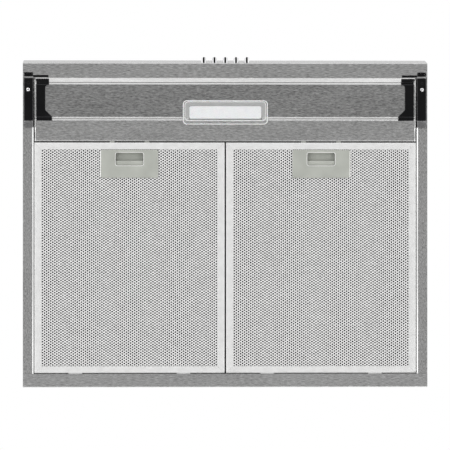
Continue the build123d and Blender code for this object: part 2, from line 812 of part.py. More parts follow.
def latch_plate(center_x):
    """Moulded plate with the finger pocket, and the tray behind it that guides the slide."""
    with BuildPart() as plate:
        with BuildSketch(Plane.XY.offset(latch_bottom_z)):
            with Locations((center_x, latch_y)):
                RectangleRounded(latch_width, latch_depth, latch_corner)
        extrude(amount=latch_plate_thickness)
        fillet(plate.faces().sort_by(Axis.Z)[0].edges(), radius=latch_proud / 2)
        with BuildSketch(Plane.XY.offset(latch_top_z)):
            with Locations((center_x, latch_y)):
                Rectangle(tray_width, tray_depth)
                Rectangle(tray_width - 2 * tray_wall, tray_depth - 2 * tray_wall, mode=Mode.SUBTRACT)
            for x in arm_xs:
                with Locations((center_x + x, (latch_y + tray_inner_rear_y - tray_wall) / 2)):
                    Rectangle(rib_width, tray_depth / 2)
        extrude(amount=slide_z - slide_fit - latch_top_z)
        with BuildSketch(Plane.XY.offset(slide_z - slide_fit)):
            with Locations((center_x, latch_y)):
                Rectangle(tray_width, tray_depth)
                Rectangle(tray_width - 2 * tray_wall, tray_depth - 2 * tray_wall, mode=Mode.SUBTRACT)
        extrude(amount=tray_top_z - slide_z + slide_fit)
        with BuildSketch(Plane.XY.offset(latch_bottom_z)):
            with Locations((center_x, pocket_y)):
                RectangleRounded(pocket_width, pocket_depth, pocket_corner)
        extrude(amount=slide_z - slide_fit - latch_bottom_z, mode=Mode.SUBTRACT)
        with BuildSketch(Plane.XZ.offset(-latch_front_y)):
            for x in arm_xs:
                with Locations((center_x + x, slide_z - slide_fit + prong_slot_height / 2)):
                    Rectangle(prong_width + 2 * slide_fit, prong_slot_height)
        extrude(amount=-(latch_edge + tray_wall + slide_fit), mode=Mode.SUBTRACT)
    return plate.part


def latch_lid(center_x):
    """Flat lid on the tray, which is the far wall of the finger pocket."""
    with BuildPart() as lid:
        with BuildSketch(Plane.XY.offset(tray_top_z)):
            with Locations((center_x, latch_y)):
                Rectangle(tray_width, tray_depth)
        extrude(amount=tray_lid_thickness)
    return lid.part


def latch_slide(center_x):
    """Yoke with the grip bar across the pocket and a prong at the end of each arm."""
    with BuildPart() as slide:
        with BuildSketch(Plane.XY.offset(slide_z)):
            with Locations((center_x, (bar_front_y + bar_rear_y) / 2)):
                Rectangle(2 * prong_offset + prong_width, slide_bar_depth)
            for x in arm_xs:
                with Locations((center_x + x, (prong_front_y + bar_front_y) / 2)):
                    Rectangle(prong_width, bar_front_y - prong_front_y)
        extrude(amount=slide_thickness)
        prong_noses = slide.edges().filter_by(Axis.X).group_by(Axis.Y)[0].sort_by(Axis.Z)[:2]
        chamfer(prong_noses, length=slide_thickness / 2)
        with BuildSketch(Plane.XY.offset(slide_z)):
            with Locations((center_x, bar_front_y + grip_depth / 2)):
                Rectangle(pocket_width - 2 * slide_fit, grip_depth)
        extrude(amount=-grip_drop)
    return slide.part


def latch_springs(center_x):
    """Two folded strips that push the slide forwards."""
    spring_length = tray_inner_rear_y - bar_rear_y
    fold_pitch = spring_length / (2 * spring_folds)
    with BuildPart() as springs:
        for x in (-spring_offset, spring_offset):
            side_xs = (center_x + x - spring_width / 2, center_x + x + spring_width / 2)
            points = [(side_xs[n % 2], bar_rear_y + n * fold_pitch) for n in range(2 * spring_folds + 1)]
            with BuildSketch(Plane.XY.offset(slide_z)):
                with BuildLine() as zigzag:
                    Polyline(*points)
                trace(line_width=spring_strip)
                with Locations((center_x + x, (bar_rear_y + tray_inner_rear_y) / 2)):
                    Rectangle(2 * spring_width, spring_length, mode=Mode.INTERSECT)
            extrude(amount=slide_thickness)
    return springs.part


layer_zs = [lining_z + mesh_sheet + layer_pitch * (n + 0.5) for n in range(layer_count)]
back_mesh_z = filter_top_z - filter_sheet - mesh_sheet
for hand, center_x in (("left", -filter_x), ("right", filter_x)):
    write(filter_frame(center_x), f"filter_frame_{hand}")
    write(filter_mesh(center_x, [lining_z], False), f"filter_face_mesh_{hand}")
    write(filter_mesh(center_x, layer_zs, True), f"filter_layers_{hand}")
    write(filter_mesh(center_x, [back_mesh_z], True), f"filter_back_mesh_{hand}")
    write(latch_plate(center_x), f"latch_plate_{hand}")
    write(latch_lid(center_x), f"latch_lid_{hand}")
    write(latch_slide(center_x), f"latch_slide_{hand}")
    write(latch_springs(center_x), f"latch_springs_{hand}")

# Fan scroll: four quarter arcs, each a step larger than the last, run into a straight outlet.
scroll_half = scroll_step / 2
scroll_centers = (
    (fan_x - scroll_half, fan_y + scroll_half),
    (fan_x - scroll_half, fan_y - scroll_half),
    (fan_x + scroll_half, fan_y - scroll_half),
    (fan_x + scroll_half, fan_y + scroll_half),
)
scroll_radii = [scroll_start_radius + n * scroll_step for n in range(4)]
outlet_start_y = fan_y + scroll_half
outlet_length = outlet_end_y - outlet_start_y
with BuildSketch() as scroll_room:
    with BuildLine():
        for n in range(4):
            CenterArc(scroll_centers[n], scroll_radii[n], 90 * n, 90)
        Line(
            (scroll_centers[0][0] + scroll_radii[0], outlet_start_y),
            (scroll_centers[3][0] + scroll_radii[3], outlet_start_y),
        )
    make_face()
    with Locations((0, outlet_start_y + outlet_length / 2)):
        Rectangle(2 * outlet_half_width, outlet_length)
    tongue = [
        corner
        for corner in scroll_room.vertices()
        if abs(corner.X + outlet_half_width) < sheet and corner.Y < outlet_end_y - sheet
    ]
    fillet(tongue, radius=tongue_round)

with BuildSketch() as scroll_outline:
    offset(scroll_room.sketch_local, amount=housing_wall)

boss_gap = housing_wall + boss_radius - sheet
boss_spots = (
    (scroll_centers[0][0], scroll_centers[0][1] + scroll_radii[0] + boss_gap),
    (scroll_centers[1][0] - scroll_radii[1] - boss_gap, scroll_centers[1][1]),
    (scroll_centers[2][0], scroll_centers[2][1] - scroll_radii[2] - boss_gap),
    (outlet_half_width + boss_gap, outlet_start_y),
    (outlet_half_width + boss_gap, outlet_end_y - boss_radius),
    (-outlet_half_width - boss_gap, outlet_end_y - boss_radius),
)
with BuildPart() as blower_housing:
    with BuildSketch(Plane.XY.offset(floor_z)):
        add(scroll_outline.sketch_local)
        with Locations(*boss_spots):
            Circle(boss_radius)
    extrude(amount=blower_height - housing_wall)
    with BuildSketch(Plane.XY.offset(floor_z + housing_wall)):
        add(scroll_room.sketch_local)
    extrude(amount=blower_height, mode=Mode.SUBTRACT)
    with BuildSketch(Plane.XY.offset(floor_z)):
        with Locations((fan_x, fan_y)):
            Circle(inlet_radius)
    extrude(amount=housing_wall, mode=Mode.SUBTRACT)
    with BuildSketch(Plane.XY.offset(floor_z)):
        with Locations(*boss_spots):
            Circle(boss_screw_diameter / 2)
    extrude(amount=blower_height, mode=Mode.SUBTRACT)
write(blower_housing.part, "blower_housing")

motor_screws_round = PolarLocations(motor_screw_circle, 3).local_locations
motor_screw_spots = [(spot.position.X + fan_x, spot.position.Y + fan_y) for spot in motor_screws_round]
with BuildPart() as blower_lid:
    with BuildSketch(Plane.XY.offset(lid_z)):
        add(scroll_outline.sketch_local)
        with Locations(*boss_spots):
            Circle(boss_radius)
        with Locations((0, collar_y)):
            Circle(outlet_hole_diameter / 2, mode=Mode.SUBTRACT)
        with Locations(*boss_spots, *collar_bolt_spots, *motor_screw_spots):
            Circle(boss_screw_diameter / 2, mode=Mode.SUBTRACT)
    extrude(amount=housing_wall)
write(blower_lid.part, "blower_lid")


def pan_screws(spots, head_z, points_up, length):
    """Small pan head screws at the given places, with the underside of their heads at head_z."""
    way = 1 if points_up else -1
    with BuildPart() as screws:
        with BuildSketch(Plane.XY.offset(head_z)):
            with Locations(*spots):
                Circle(small_screw_head)
        extrude(amount=-way * small_screw_head_height)
        with BuildSketch(Plane.XY.offset(head_z)):
            with Locations(*spots):
                Circle(boss_screw_diameter / 2 - screw_clearance)
        extrude(amount=way * length)
    return screws.part


write(pan_screws(boss_spots, floor_z, True, housing_screw_length), "housing_screws")

# Inlet guard: bell-mouthed ring under the housing floor, with two rings and spokes across it.
with BuildPart() as inlet_guard:
    with BuildSketch(Plane.XZ.offset(-fan_y)):
        with BuildLine():
            Polyline(
                (fan_x + inlet_throat, floor_z - guard_bar),
                (fan_x + inlet_radius + inlet_flange, floor_z - guard_bar),
                (fan_x + inlet_radius + inlet_flange, floor_z),
                (fan_x + inlet_radius - flat_fit, floor_z),
                (fan_x + inlet_throat + guard_bar, floor_z + inlet_ring_reach),
                (fan_x + inlet_throat, floor_z + inlet_ring_reach),
                close=True,
            )
        make_face()
    revolve(axis=Axis((fan_x, fan_y, 0), (0, 0, 1)))
    with BuildSketch(Plane.XY.offset(floor_z - guard_bar)):
        with Locations((fan_x, fan_y)):
            for radius in guard_ring_radii:
                Circle(radius)
                Circle(radius - guard_bar, mode=Mode.SUBTRACT)
            with PolarLocations(0, guard_spokes):
                with Locations(((guard_ring_radii[0] + inlet_throat) / 2, 0)):
                    Rectangle(inlet_throat - guard_ring_radii[0] + guard_bar, guard_bar)
    extrude(amount=guard_bar)
write(inlet_guard.part, "inlet_guard")

# Impeller: dished back plate round the motor, forward-curved blades and an eye ring.
blade_foot_z = floor_z + housing_wall + impeller_floor_gap
back_plate_z = lid_z - impeller_roof_gap
cup_z = blade_foot_z + impeller_sheet + hub_height / 2
motor_floor_z = cup_z + impeller_sheet + motor_cup_gap
hub_foot_z = cup_z - hub_height / 2
with BuildSketch() as blade:
    with BuildLine():
        RadiusArc((impeller_eye, 0), (impeller_radius - blade_thickness, blade_sweep), blade_bow)
    trace(line_width=blade_thickness)

with BuildPart() as impeller:
    with BuildSketch(Plane.XZ.offset(-fan_y)):
        with BuildLine():
            Polyline(
                (fan_x + shaft_diameter / 2, hub_foot_z),
                (fan_x + hub_radius, hub_foot_z),
                (fan_x + hub_radius, cup_z),
                (fan_x + cup_radius, cup_z),
                (fan_x + cup_shoulder, back_plate_z),
                (fan_x + impeller_radius, back_plate_z),
                (fan_x + impeller_radius, back_plate_z + impeller_sheet),
                (fan_x + cup_shoulder - impeller_sheet, back_plate_z + impeller_sheet),
                (fan_x + cup_radius - impeller_sheet, cup_z + impeller_sheet),
                (fan_x + hub_radius, cup_z + impeller_sheet),
                (fan_x + shaft_diameter / 2, cup_z + impeller_sheet),
                close=True,
            )
        make_face()
    revolve(axis=Axis((fan_x, fan_y, 0), (0, 0, 1)))
    with BuildSketch(Plane.XY.offset(blade_foot_z)):
        with Locations((fan_x, fan_y)):
            Circle(impeller_radius)
            Circle(impeller_eye, mode=Mode.SUBTRACT)
    extrude(amount=impeller_sheet)
    with BuildSketch(Plane.XY.offset(blade_foot_z)):
        with Locations((fan_x, fan_y)):
            with PolarLocations(0, blade_count):
                add(blade.sketch_local)
    extrude(amount=back_plate_z - blade_foot_z + impeller_sheet / 2)
write(impeller.part, "impeller")

with BuildPart() as motor_shaft:
    shaft_top_z = lid_z - motor_mount_thickness - motor_cup_gap
    with BuildSketch(Plane.XY.offset(hub_foot_z - impeller_sheet)):
        with Locations((fan_x, fan_y)):
            Circle(shaft_diameter / 2)
    extrude(amount=shaft_top_z - hub_foot_z)
    chamfer(motor_shaft.edges().group_by(Axis.Z)[0], length=impeller_sheet / 2)
write(motor_shaft.part, "motor_shaft")

# Motor: ribbed can with a bored bearing neck, hung in the impeller's cup from the mount plate.
motor_top_z = lid_z - motor_mount_thickness
with BuildPart() as motor:
    with BuildSketch(Plane.XY.offset(motor_floor_z)):
        with Locations((fan_x, fan_y)):
            Circle(motor_radius)
    extrude(amount=motor_top_z - motor_floor_z)
    chamfer(motor.edges().group_by(Axis.Z)[0], length=motor_cup_gap / 2)
    with BuildSketch(Plane.XY.offset(motor_floor_z - motor_cup_gap / 2)):
        with Locations((fan_x, fan_y)):
            Circle(motor_neck_radius)
    extrude(amount=motor_cup_gap / 2)
    with BuildSketch(Plane.XY.offset(motor_floor_z + motor_cup_gap)):
        with Locations((fan_x, fan_y)):
            with PolarLocations(motor_radius, motor_fin_count):
                Rectangle(2 * motor_mount_thickness, motor_mount_thickness)
    extrude(amount=motor_top_z - motor_floor_z - 2 * motor_cup_gap, mode=Mode.SUBTRACT)
    with BuildSketch(Plane.XY.offset(motor_floor_z - motor_cup_gap / 2)):
        with Locations((fan_x, fan_y)):
            Circle(shaft_diameter / 2 + shaft_fit)
    extrude(amount=shaft_top_z - motor_floor_z + motor_cup_gap, mode=Mode.SUBTRACT)
write(motor.part, "motor")

with BuildPart() as motor_mount:
    with BuildSketch(Plane.XY.offset(motor_top_z)) as mount_plan:
        with Locations((fan_x, fan_y)):
            RegularPolygon(motor_mount_radius, 3)
        fillet(mount_plan.vertices(), radius=motor_mount_round)
        with Locations(*motor_screw_spots):
            Circle(boss_screw_diameter / 2, mode=Mode.SUBTRACT)
    extrude(amount=motor_mount_thickness)
write(motor_mount.part, "motor_mount")
write(pan_screws(motor_screw_spots, motor_top_z, True, motor_mount_thickness + housing_wall), "motor_screws")

# Duct collar on the top panel, with a damper of two half flaps.
collar_foot_z = body_height
tube_radius = duct_diameter / 2
tube_bore = tube_radius - duct_wall
flap_z = collar_foot_z + flap_axis_height
flap_tip_x = tube_bore - flap_boss_length - flat_fit
with BuildPart() as duct_collar:
    with BuildSketch(Plane.XY.offset(collar_foot_z)):
        with Locations((0, collar_y)):
            Circle(tube_radius + collar_flange)
            Circle(tube_bore, mode=Mode.SUBTRACT)
        with Locations(*collar_bolt_spots):
            Circle(boss_screw_diameter / 2, mode=Mode.SUBTRACT)
    extrude(amount=collar_flange_thickness)
    with BuildSketch(Plane.XY.offset(collar_foot_z)):
        with Locations((0, collar_y)):
            Circle(tube_radius)
            Circle(tube_bore, mode=Mode.SUBTRACT)
    extrude(amount=collar_height)
    for side in (-1, 1):
        with BuildSketch(Plane.YZ.offset(side * (tube_bore + duct_wall / 2))):
            for y in (-flap_axis_offset, flap_axis_offset):
                with Locations((collar_y + y, flap_z)):
                    Circle(flap_boss_radius)
        extrude(amount=-side * (flap_boss_length + duct_wall / 2))
        with BuildSketch(Plane.YZ.offset(side * (tube_bore - flap_boss_length))):
            for y in (-flap_axis_offset, flap_axis_offset):
                with Locations((collar_y + y, flap_z)):
                    Circle(flap_pin_radius + flap_pin_fit)
        extrude(amount=side * flap_boss_length, mode=Mode.SUBTRACT)
write(duct_collar.part, "duct_collar")
collar_screw_z = collar_foot_z + collar_flange_thickness
write(pan_screws(collar_bolt_spots, collar_screw_z, False, collar_screw_length), "collar_screws")

flap_radius = tube_bore - flap_fit
for hand, side in (("front", -1), ("rear", 1)):
    with BuildPart() as damper_flap:
        with BuildSketch(Plane.XY.offset(flap_z - flap_thickness / 2)):
            with Locations((0, collar_y)):
                Circle(flap_radius)
            with Locations((0, collar_y + side * (flap_axis_offset + flap_radius))):
                Rectangle(4 * flap_radius, 2 * flap_radius, mode=Mode.INTERSECT)
            with Locations((0, collar_y + side * flap_axis_offset)):
                with GridLocations(2 * tube_bore, 0, 2, 1):
                    Rectangle(
                        2 * (tube_bore - flap_tip_x), 2 * flap_boss_radius + 2 * flat_fit, mode=Mode.SUBTRACT
                    )
        extrude(amount=flap_thickness)
        with BuildSketch(Plane.YZ.offset(-flap_tip_x)):
            with Locations((collar_y + side * flap_axis_offset, flap_z)):
                Circle(flap_barrel_radius)
        extrude(amount=2 * flap_tip_x)
        pin_reach = flap_tip_x + flap_boss_length - flat_fit
        with BuildSketch(Plane.YZ.offset(-pin_reach)):
            with Locations((collar_y + side * flap_axis_offset, flap_z)):
                Circle(flap_pin_radius)
        extrude(amount=2 * pin_reach)
    write(damper_flap.part, f"damper_flap_{hand}")

# Electrical pieces under the top panel.
electrics_y = rear_y - electrics_from_rear
with BuildPart() as terminal_box:
    box_width, box_depth, box_height = terminal_box_size
    with BuildSketch(Plane.XY.offset(roof_z - box_height)):
        with Locations((terminal_box_x, electrics_y)):
            RectangleRounded(box_width, box_depth, 2 * terminal_box_wall)
    extrude(amount=box_height)
    with BuildSketch(Plane.XY.offset(roof_z - box_height + terminal_box_wall)):
        with Locations((terminal_box_x, electrics_y)):
            Rectangle(box_width - 2 * terminal_box_wall, box_depth - 2 * terminal_box_wall)
    extrude(amount=box_height, mode=Mode.SUBTRACT)
write(terminal_box.part, "terminal_box")

with BuildPart() as capacitor:
    with BuildSketch(Plane.XY.offset(roof_z)):
        with Locations((capacitor_x, electrics_y)):
            Circle(capacitor_radius)
    extrude(amount=-capacitor_height)
    fillet(capacitor.edges().group_by(Axis.Z)[0], radius=capacitor_strap)
write(capacitor.part, "capacitor")

with BuildPart() as cable_gland:
    with BuildSketch(Plane.XY.offset(roof_z - gland_height)):
        with Locations((gland_x, rear_y - gland_from_rear)):
            Circle(gland_radius)
    extrude(amount=2 * gland_height)
    with BuildSketch(Plane.XY.offset(body_height)):
        with Locations((gland_x, rear_y - gland_from_rear)):
            Circle(gland_radius + gland_flange)
    extrude(amount=gland_flange)
    with Locations((gland_x, rear_y - gland_from_rear, roof_z)):
        Hole(gland_bore_radius)
write(cable_gland.part, "cable_gland")
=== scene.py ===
"""Dresses the range hood: brushed steel, pierced filter mesh, rolled frames, fixings, floor, light and camera."""

import logging
import math
from dataclasses import dataclass
from enum import Enum
from functools import reduce

import bmesh
import bpy
from mathutils import Matrix, Vector


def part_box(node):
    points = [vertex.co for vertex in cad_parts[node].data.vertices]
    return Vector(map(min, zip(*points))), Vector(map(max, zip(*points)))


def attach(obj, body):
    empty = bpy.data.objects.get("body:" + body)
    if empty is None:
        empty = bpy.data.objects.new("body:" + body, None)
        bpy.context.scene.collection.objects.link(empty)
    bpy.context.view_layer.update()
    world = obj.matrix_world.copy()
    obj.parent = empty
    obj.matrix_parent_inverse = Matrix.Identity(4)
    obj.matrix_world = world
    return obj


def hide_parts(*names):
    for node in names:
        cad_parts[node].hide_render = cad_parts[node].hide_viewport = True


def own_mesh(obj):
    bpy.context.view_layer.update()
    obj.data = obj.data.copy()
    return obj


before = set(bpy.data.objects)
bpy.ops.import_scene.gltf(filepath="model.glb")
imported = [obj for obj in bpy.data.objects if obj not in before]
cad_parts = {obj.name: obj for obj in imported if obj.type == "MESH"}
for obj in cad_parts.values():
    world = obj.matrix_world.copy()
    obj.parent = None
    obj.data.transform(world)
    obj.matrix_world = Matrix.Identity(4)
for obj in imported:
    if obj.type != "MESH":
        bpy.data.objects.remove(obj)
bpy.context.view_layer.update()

log = logging.getLogger("hood")
MM = 0.001
SIDES = (("left", -1), ("right", 1))
NOISE_SPAN = (0.3, 0.7)
WELD = 0.002 * MM
FLAT_ANGLE = 0.5
CELL_WELD = 0.05 * MM
EDGE_BREAK = 0.08 * MM
SCREW_SEGMENTS, SCREW_RINGS = 28, 16
RIVET_SEGMENTS, RIVET_RINGS = 24, 14
# Shares of a screw head's radius and height, its recess's turn in radians, and a share of a rivet's height.
RECESS_REACH = 1.15
RECESS_DEPTH = 1.3
RECESS_TURN = 0.5
PIN_DEPTH = 2.4

Colour = tuple[float, float, float]
Size = tuple[float, float, float]
Span = tuple[float, float]
Line = tuple[Span, ...]
Socket = bpy.types.NodeSocket
Mesh = bpy.types.Mesh
WorkMesh = bmesh.types.BMesh


class Grain(Enum):
    """Which way a sheet's brush marks or a straight piece run."""

    ALONG_X = "x"
    ALONG_Y = "y"

    def stretch(self, across: float, along: float) -> Size:
        """The size of one mark on X, Y and Z, from its width and its length."""
        return tuple(along if self.value == axis else across for axis in "xyz")


class Heads(Enum):
    """Which end of a screw its head is on."""

    BELOW = 1
    ABOVE = 0


def add_object(name: str, data: bpy.types.ID) -> bpy.types.Object:
    """Puts a mesh, lamp or camera in the scene under a name.

    Args:
        name: The object's name.
        data: What it shows.

    Returns:
        The object.
    """
    made = bpy.data.objects.new(name, data)
    bpy.context.scene.collection.objects.link(made)
    return made


# ---------------------------------------------------------------- node sheets


class NodeSheet:
    """A node tree laid out in script, with the moves that finishes, shapes and the surround share."""

    def __init__(self, tree: bpy.types.NodeTree) -> None:
        """Keeps the tree that the nodes go into."""
        self.tree = tree

    def node(self, kind: str, inputs: dict[object, object] | None = None, **settings: object) -> bpy.types.Node:
        """Adds a node.

        Args:
            kind: The node's type.
            inputs: Values or sockets for its inputs, by name or number.
            settings: The node's own settings.

        Returns:
            The node.
        """
        node = self.tree.nodes.new(kind)
        for name, value in settings.items():
            setattr(node, name, value)
        for name, value in (inputs or {}).items():
            if isinstance(value, Socket):
                self.tree.links.new(value, node.inputs[name])
            else:
                node.inputs[name].default_value = value
        return node

    def math(self, operation: str, first: object, second: object = 0.0, third: object = 0.0) -> Socket:
        """The result of one Math node."""
        return self.node("ShaderNodeMath", {0: first, 1: second, 2: third}, operation=operation).outputs[0]

    def product(self, first: object, *others: object) -> Socket:
        """The product of two or more values."""
        return reduce(lambda left, right: self.math("MULTIPLY", left, right), others, first)

    def split(self, vector: Socket) -> bpy.types.NodeOutputs:
        """A vector's X, Y and Z."""
        return self.node("ShaderNodeSeparateXYZ", {0: vector}).outputs

    def ramp(self, value: Socket, source: Span, target: Span = (0.0, 1.0)) -> Socket:
        """Carries a value from one range to another and holds it at the ends."""
        spans = {"From Min": source[0], "From Max": source[1], "To Min": target[0], "To Max": target[1]}
        return self.node("ShaderNodeMapRange", {"Value": value, **spans}).outputs["Result"]


def shade(colour: Colour, factor: float) -> Colour:
    """A colour made lighter or darker."""
    return tuple(min(1.0, channel * factor) for channel in colour)


class Bench(NodeSheet):
    """The node sheet of one material."""

    def __init__(self, name: str) -> None:
        """Starts a material.

        Args:
            name: The material's name.
        """
        self.material = bpy.data.materials.new(name)
        self.material.use_nodes = True
        super().__init__(self.material.node_tree)
        self.shader = self.tree.nodes["Principled BSDF"]
        self.place = self.node("ShaderNodeTexCoord").outputs["Object"]

    def fix(self, values: dict[str, object]) -> None:
        """Sets what is the same all over the surface on the shader's own sockets."""
        for name, value in values.items():
            self.shader.inputs[name].default_value = value

    def wire(self, name: str, value: Socket) -> None:
        """Joins a value to one of the shader's sockets."""
        self.tree.links.new(value, self.shader.inputs[name])

    def scaled(self, size: Size) -> Socket:
        """Object coordinates counted in cells of a size in metres."""
        scale = [1 / length for length in size]
        return self.node("ShaderNodeMapping", {"Vector": self.place, "Scale": scale}).outputs["Vector"]

    def noise(self, size: Size, detail: float = 2.0) -> Socket:
        """Soft random values, mostly within NOISE_SPAN, in patches of a size in metres."""
        inputs = {"Vector": self.scaled(size), "Scale": 1.0, "Detail": detail}
        return self.node("ShaderNodeTexNoise", inputs).outputs[0]

    def spread(self, noise: Socket, low: float, high: float) -> Socket:
        """Spreads a noise over a range."""
        return self.ramp(noise, NOISE_SPAN, (low, high))

    def facing(self) -> bpy.types.NodeOutputs:
        """The surface's direction as X, Y and Z."""
        return self.split(self.node("ShaderNodeNewGeometry").outputs["Normal"])

    def blend(self, factor: Socket, *ends: object) -> Socket:
        """Goes from one colour to another as a factor goes from 0 to 1.

        Args:
            factor: The factor.
            ends: The two colours, as values or sockets.

        Returns:
            The colour between them.
        """
        first, second = (end if isinstance(end, Socket) else (*end, 1.0) for end in ends)
        inputs = {0: factor, 6: first, 7: second}
        return self.node("ShaderNodeMix", inputs, data_type="RGBA", clamp_factor=False).outputs[2]

    def tint(self, factor: Socket, colour: Colour, tones: Span) -> None:
        """Colours the surface between a darker and a lighter tone of a colour."""
        self.wire("Base Color", self.blend(factor, shade(colour, tones[0]), shade(colour, tones[1])))

    def gloss(self, noise: Socket, roughness: float, change: Span) -> None:
        """Varies the roughness by a noise, between two changes to its usual value."""
        self.wire("Roughness", self.spread(noise, roughness + change[0], roughness + change[1]))

    def emboss(self, height: Socket, strength: float, depth: float) -> None:
        """Roughens the surface by a relief, with a strength of 0 to 1 and a depth in metres."""
        inputs = {"Height": height, "Strength": strength, "Distance": depth}
        self.wire("Normal", self.node("ShaderNodeBump", inputs).outputs["Normal"])


# ---------------------------------------------------------------- finishes


@dataclass(frozen=True)
class Finish:
    """What every finish has: a name and a way to become a material once."""

    name: str

    def material(self) -> bpy.types.Material:
        """Makes the finish a material the first time it is asked for.

        Returns:
            The material.
        """
        known = bpy.data.materials.get(self.name)
        if known:
            return known
        bench = Bench(self.name)
        self.lay(bench)
        return bench.material

    def lay(self, bench: Bench) -> None:
        """Lays the finish's nodes on a bench."""
        raise NotImplementedError


@dataclass(frozen=True)
class BrushedSteel(Finish):
    """Stainless steel sheet with a straight brushed grain. Sizes are a mark's width and length."""

    grain: Grain = Grain.ALONG_X
    colour: Colour = (0.68, 0.679, 0.675)
    roughness: float = 0.27
    contrast: float = 0.38
    mark: Span = (1.0 * MM, 3.6 * MM)
    hair: Span = (0.25 * MM, 14 * MM)
    streak: Span = (0.5 * MM, 70 * MM)
    cloud: Span = (40 * MM, 160 * MM)
    mark_tones: Span = (-0.5, 0.5)
    streak_tones: Span = (-0.1, 0.1)
    cloud_tones: Span = (0.44, 0.56)
    gloss_change: Span = (-0.06, 0.06)
    relief: Span = (0.25, 0.03 * MM)
    level_span: Span = (0.9, 0.98)
    fold_share: float = 0.25
    edge_tint: float = 1.0

    def lay(self, bench: Bench) -> None:
        """Lays short brush marks in the colour and fine hairs in the gloss and relief.

        Args:
            bench: The material's node sheet.
        """
        layers = ((self.mark, 3.0), (self.hair, 2.0), (self.streak, 2.0), (self.cloud, 1.0))
        marks, hairs, streaks, clouds = (bench.noise(self.grain.stretch(*size), detail) for size, detail in layers)
        slow = bench.math("ADD", bench.spread(clouds, *self.cloud_tones), bench.spread(streaks, *self.streak_tones))
        tone = bench.math("ADD", self.calmed(bench, bench.spread(marks, *self.mark_tones)), slow)
        bench.tint(self.toned(bench, tone), self.colour, (1 - self.contrast, 1 + self.contrast))
        bench.gloss(hairs, self.roughness, self.gloss_change)
        bench.emboss(hairs, *self.relief)
        bench.fix({"Metallic": 1.0, "Specular Tint": (self.edge_tint,) * 3 + (1.0,)})

    def calmed(self, bench: Bench, marks: Socket) -> Socket:
        """The marks, fainter on folds, slants and walls than on the faces brushed last."""
        level = bench.math("ABSOLUTE", bench.facing()["Z"])
        return bench.product(marks, bench.ramp(level, self.level_span, (self.fold_share, 1.0)))

    def toned(self, bench: Bench, tone: Socket) -> Socket:
        """The tone as it is; a finish with painted shade darkens it there."""
        return tone


@dataclass(frozen=True)
class TroughSteel(BrushedSteel):
    """Brushed steel with painted shade in a zone across the sheet, on the recessed floor of the lamp trough."""

    zone_front: float = -203.7 * MM
    zone_rear: float = -156.7 * MM
    zone_edge: float = 1.5 * MM
    painted_shade: float = -0.34

    def toned(self, bench: Bench, tone: Socket) -> Socket:
        """Darkens the tone in the zone: painted shade on the trough floor.

        Args:
            bench: The material's node sheet.
            tone: The tone, 0 to 1.

        Returns:
            The darkened tone.
        """
        # Painted shade: darker between the trough floor's front and rear edge.
        y = bench.split(bench.place)["Y"]
        behind = bench.ramp(y, (self.zone_front - self.zone_edge, self.zone_front))
        before = bench.ramp(y, (self.zone_rear + self.zone_edge, self.zone_rear))
        return bench.math("ADD", tone, bench.product(behind, before, self.painted_shade))


@dataclass(frozen=True)
class BendSteel(BrushedSteel):
    """Brushed steel with painted shade on the slanted part of its outer bends along the grain."""

    bend_x: float = 292 * MM
    slant_span: Span = (0.05, 0.3)
    painted_shade: float = -0.75

    def toned(self, bench: Bench, tone: Socket) -> Socket:
        """Darkens the tone on the slanted part of the outer bend, as painted shade.

        Args:
            bench: The material's node sheet.
            tone: The tone, 0 to 1.

        Returns:
            The darkened tone.
        """
        # Painted shade on the outer bend, where it slants between side and underside.
        facing = bench.facing()
        slant = bench.ramp(bench.math("ABSOLUTE", bench.product(facing["X"], facing["Z"])), self.slant_span)
        aside = bench.math("ABSOLUTE", bench.split(bench.place)["X"])
        outside = bench.math("GREATER_THAN", aside, self.bend_x)
        return bench.math("ADD", tone, bench.product(slant, outside, self.painted_shade))


@dataclass(frozen=True)
class Surface(Finish):
    """A surface whose colour changes slowly over patches, with a finer tooth in its relief."""

    colour: Colour = (0.8, 0.8, 0.8)
    tones: Span = (0.97, 1.02)
    roughness: float = 0.45
    change: Span = (-0.05, 0.05)
    patch: Size = (12 * MM,) * 3
    detail: float = 2.0
    tooth: Size = (0.4 * MM,) * 3
    tooth_detail: float = 2.0
    tooth_shines: bool = False
    relief: Span = (0.3, 0.04 * MM)
    constants: tuple[tuple[str, float], ...] = ()

    def lay(self, bench: Bench) -> None:
        """Lays the patches in the colour and the tooth in the relief, and one of them in the gloss.

        Args:
            bench: The material's node sheet.
        """
        patches, tooth = bench.noise(self.patch, self.detail), bench.noise(self.tooth, self.tooth_detail)
        bench.tint(self.toned(bench, patches), self.colour, self.tones)
        bench.gloss(tooth if self.tooth_shines else patches, self.roughness, self.change)
        bench.emboss(tooth, *self.relief)
        bench.fix(dict(self.constants))

    def toned(self, bench: Bench, patches: Socket) -> Socket:
        """How far each place is from the darker to the lighter tone."""
        return bench.spread(patches, 0.0, 1.0)


@dataclass(frozen=True)
class SatinAluminium(Surface):
    """Rolled aluminium with a faint grain, as on the filter frames and their mesh."""

    tones: Span = (0.95, 1.05)
    roughness: float = 0.46
    change: Span = (-0.07, 0.07)
    patch: Size = (9 * MM,) * 3
    detail: float = 3.0
    tooth: Size = (0.5 * MM,) * 3
    tooth_shines: bool = True
    relief: Span = (0.2, 0.03 * MM)
    constants: tuple[tuple[str, float], ...] = (("Metallic", 0.35),)


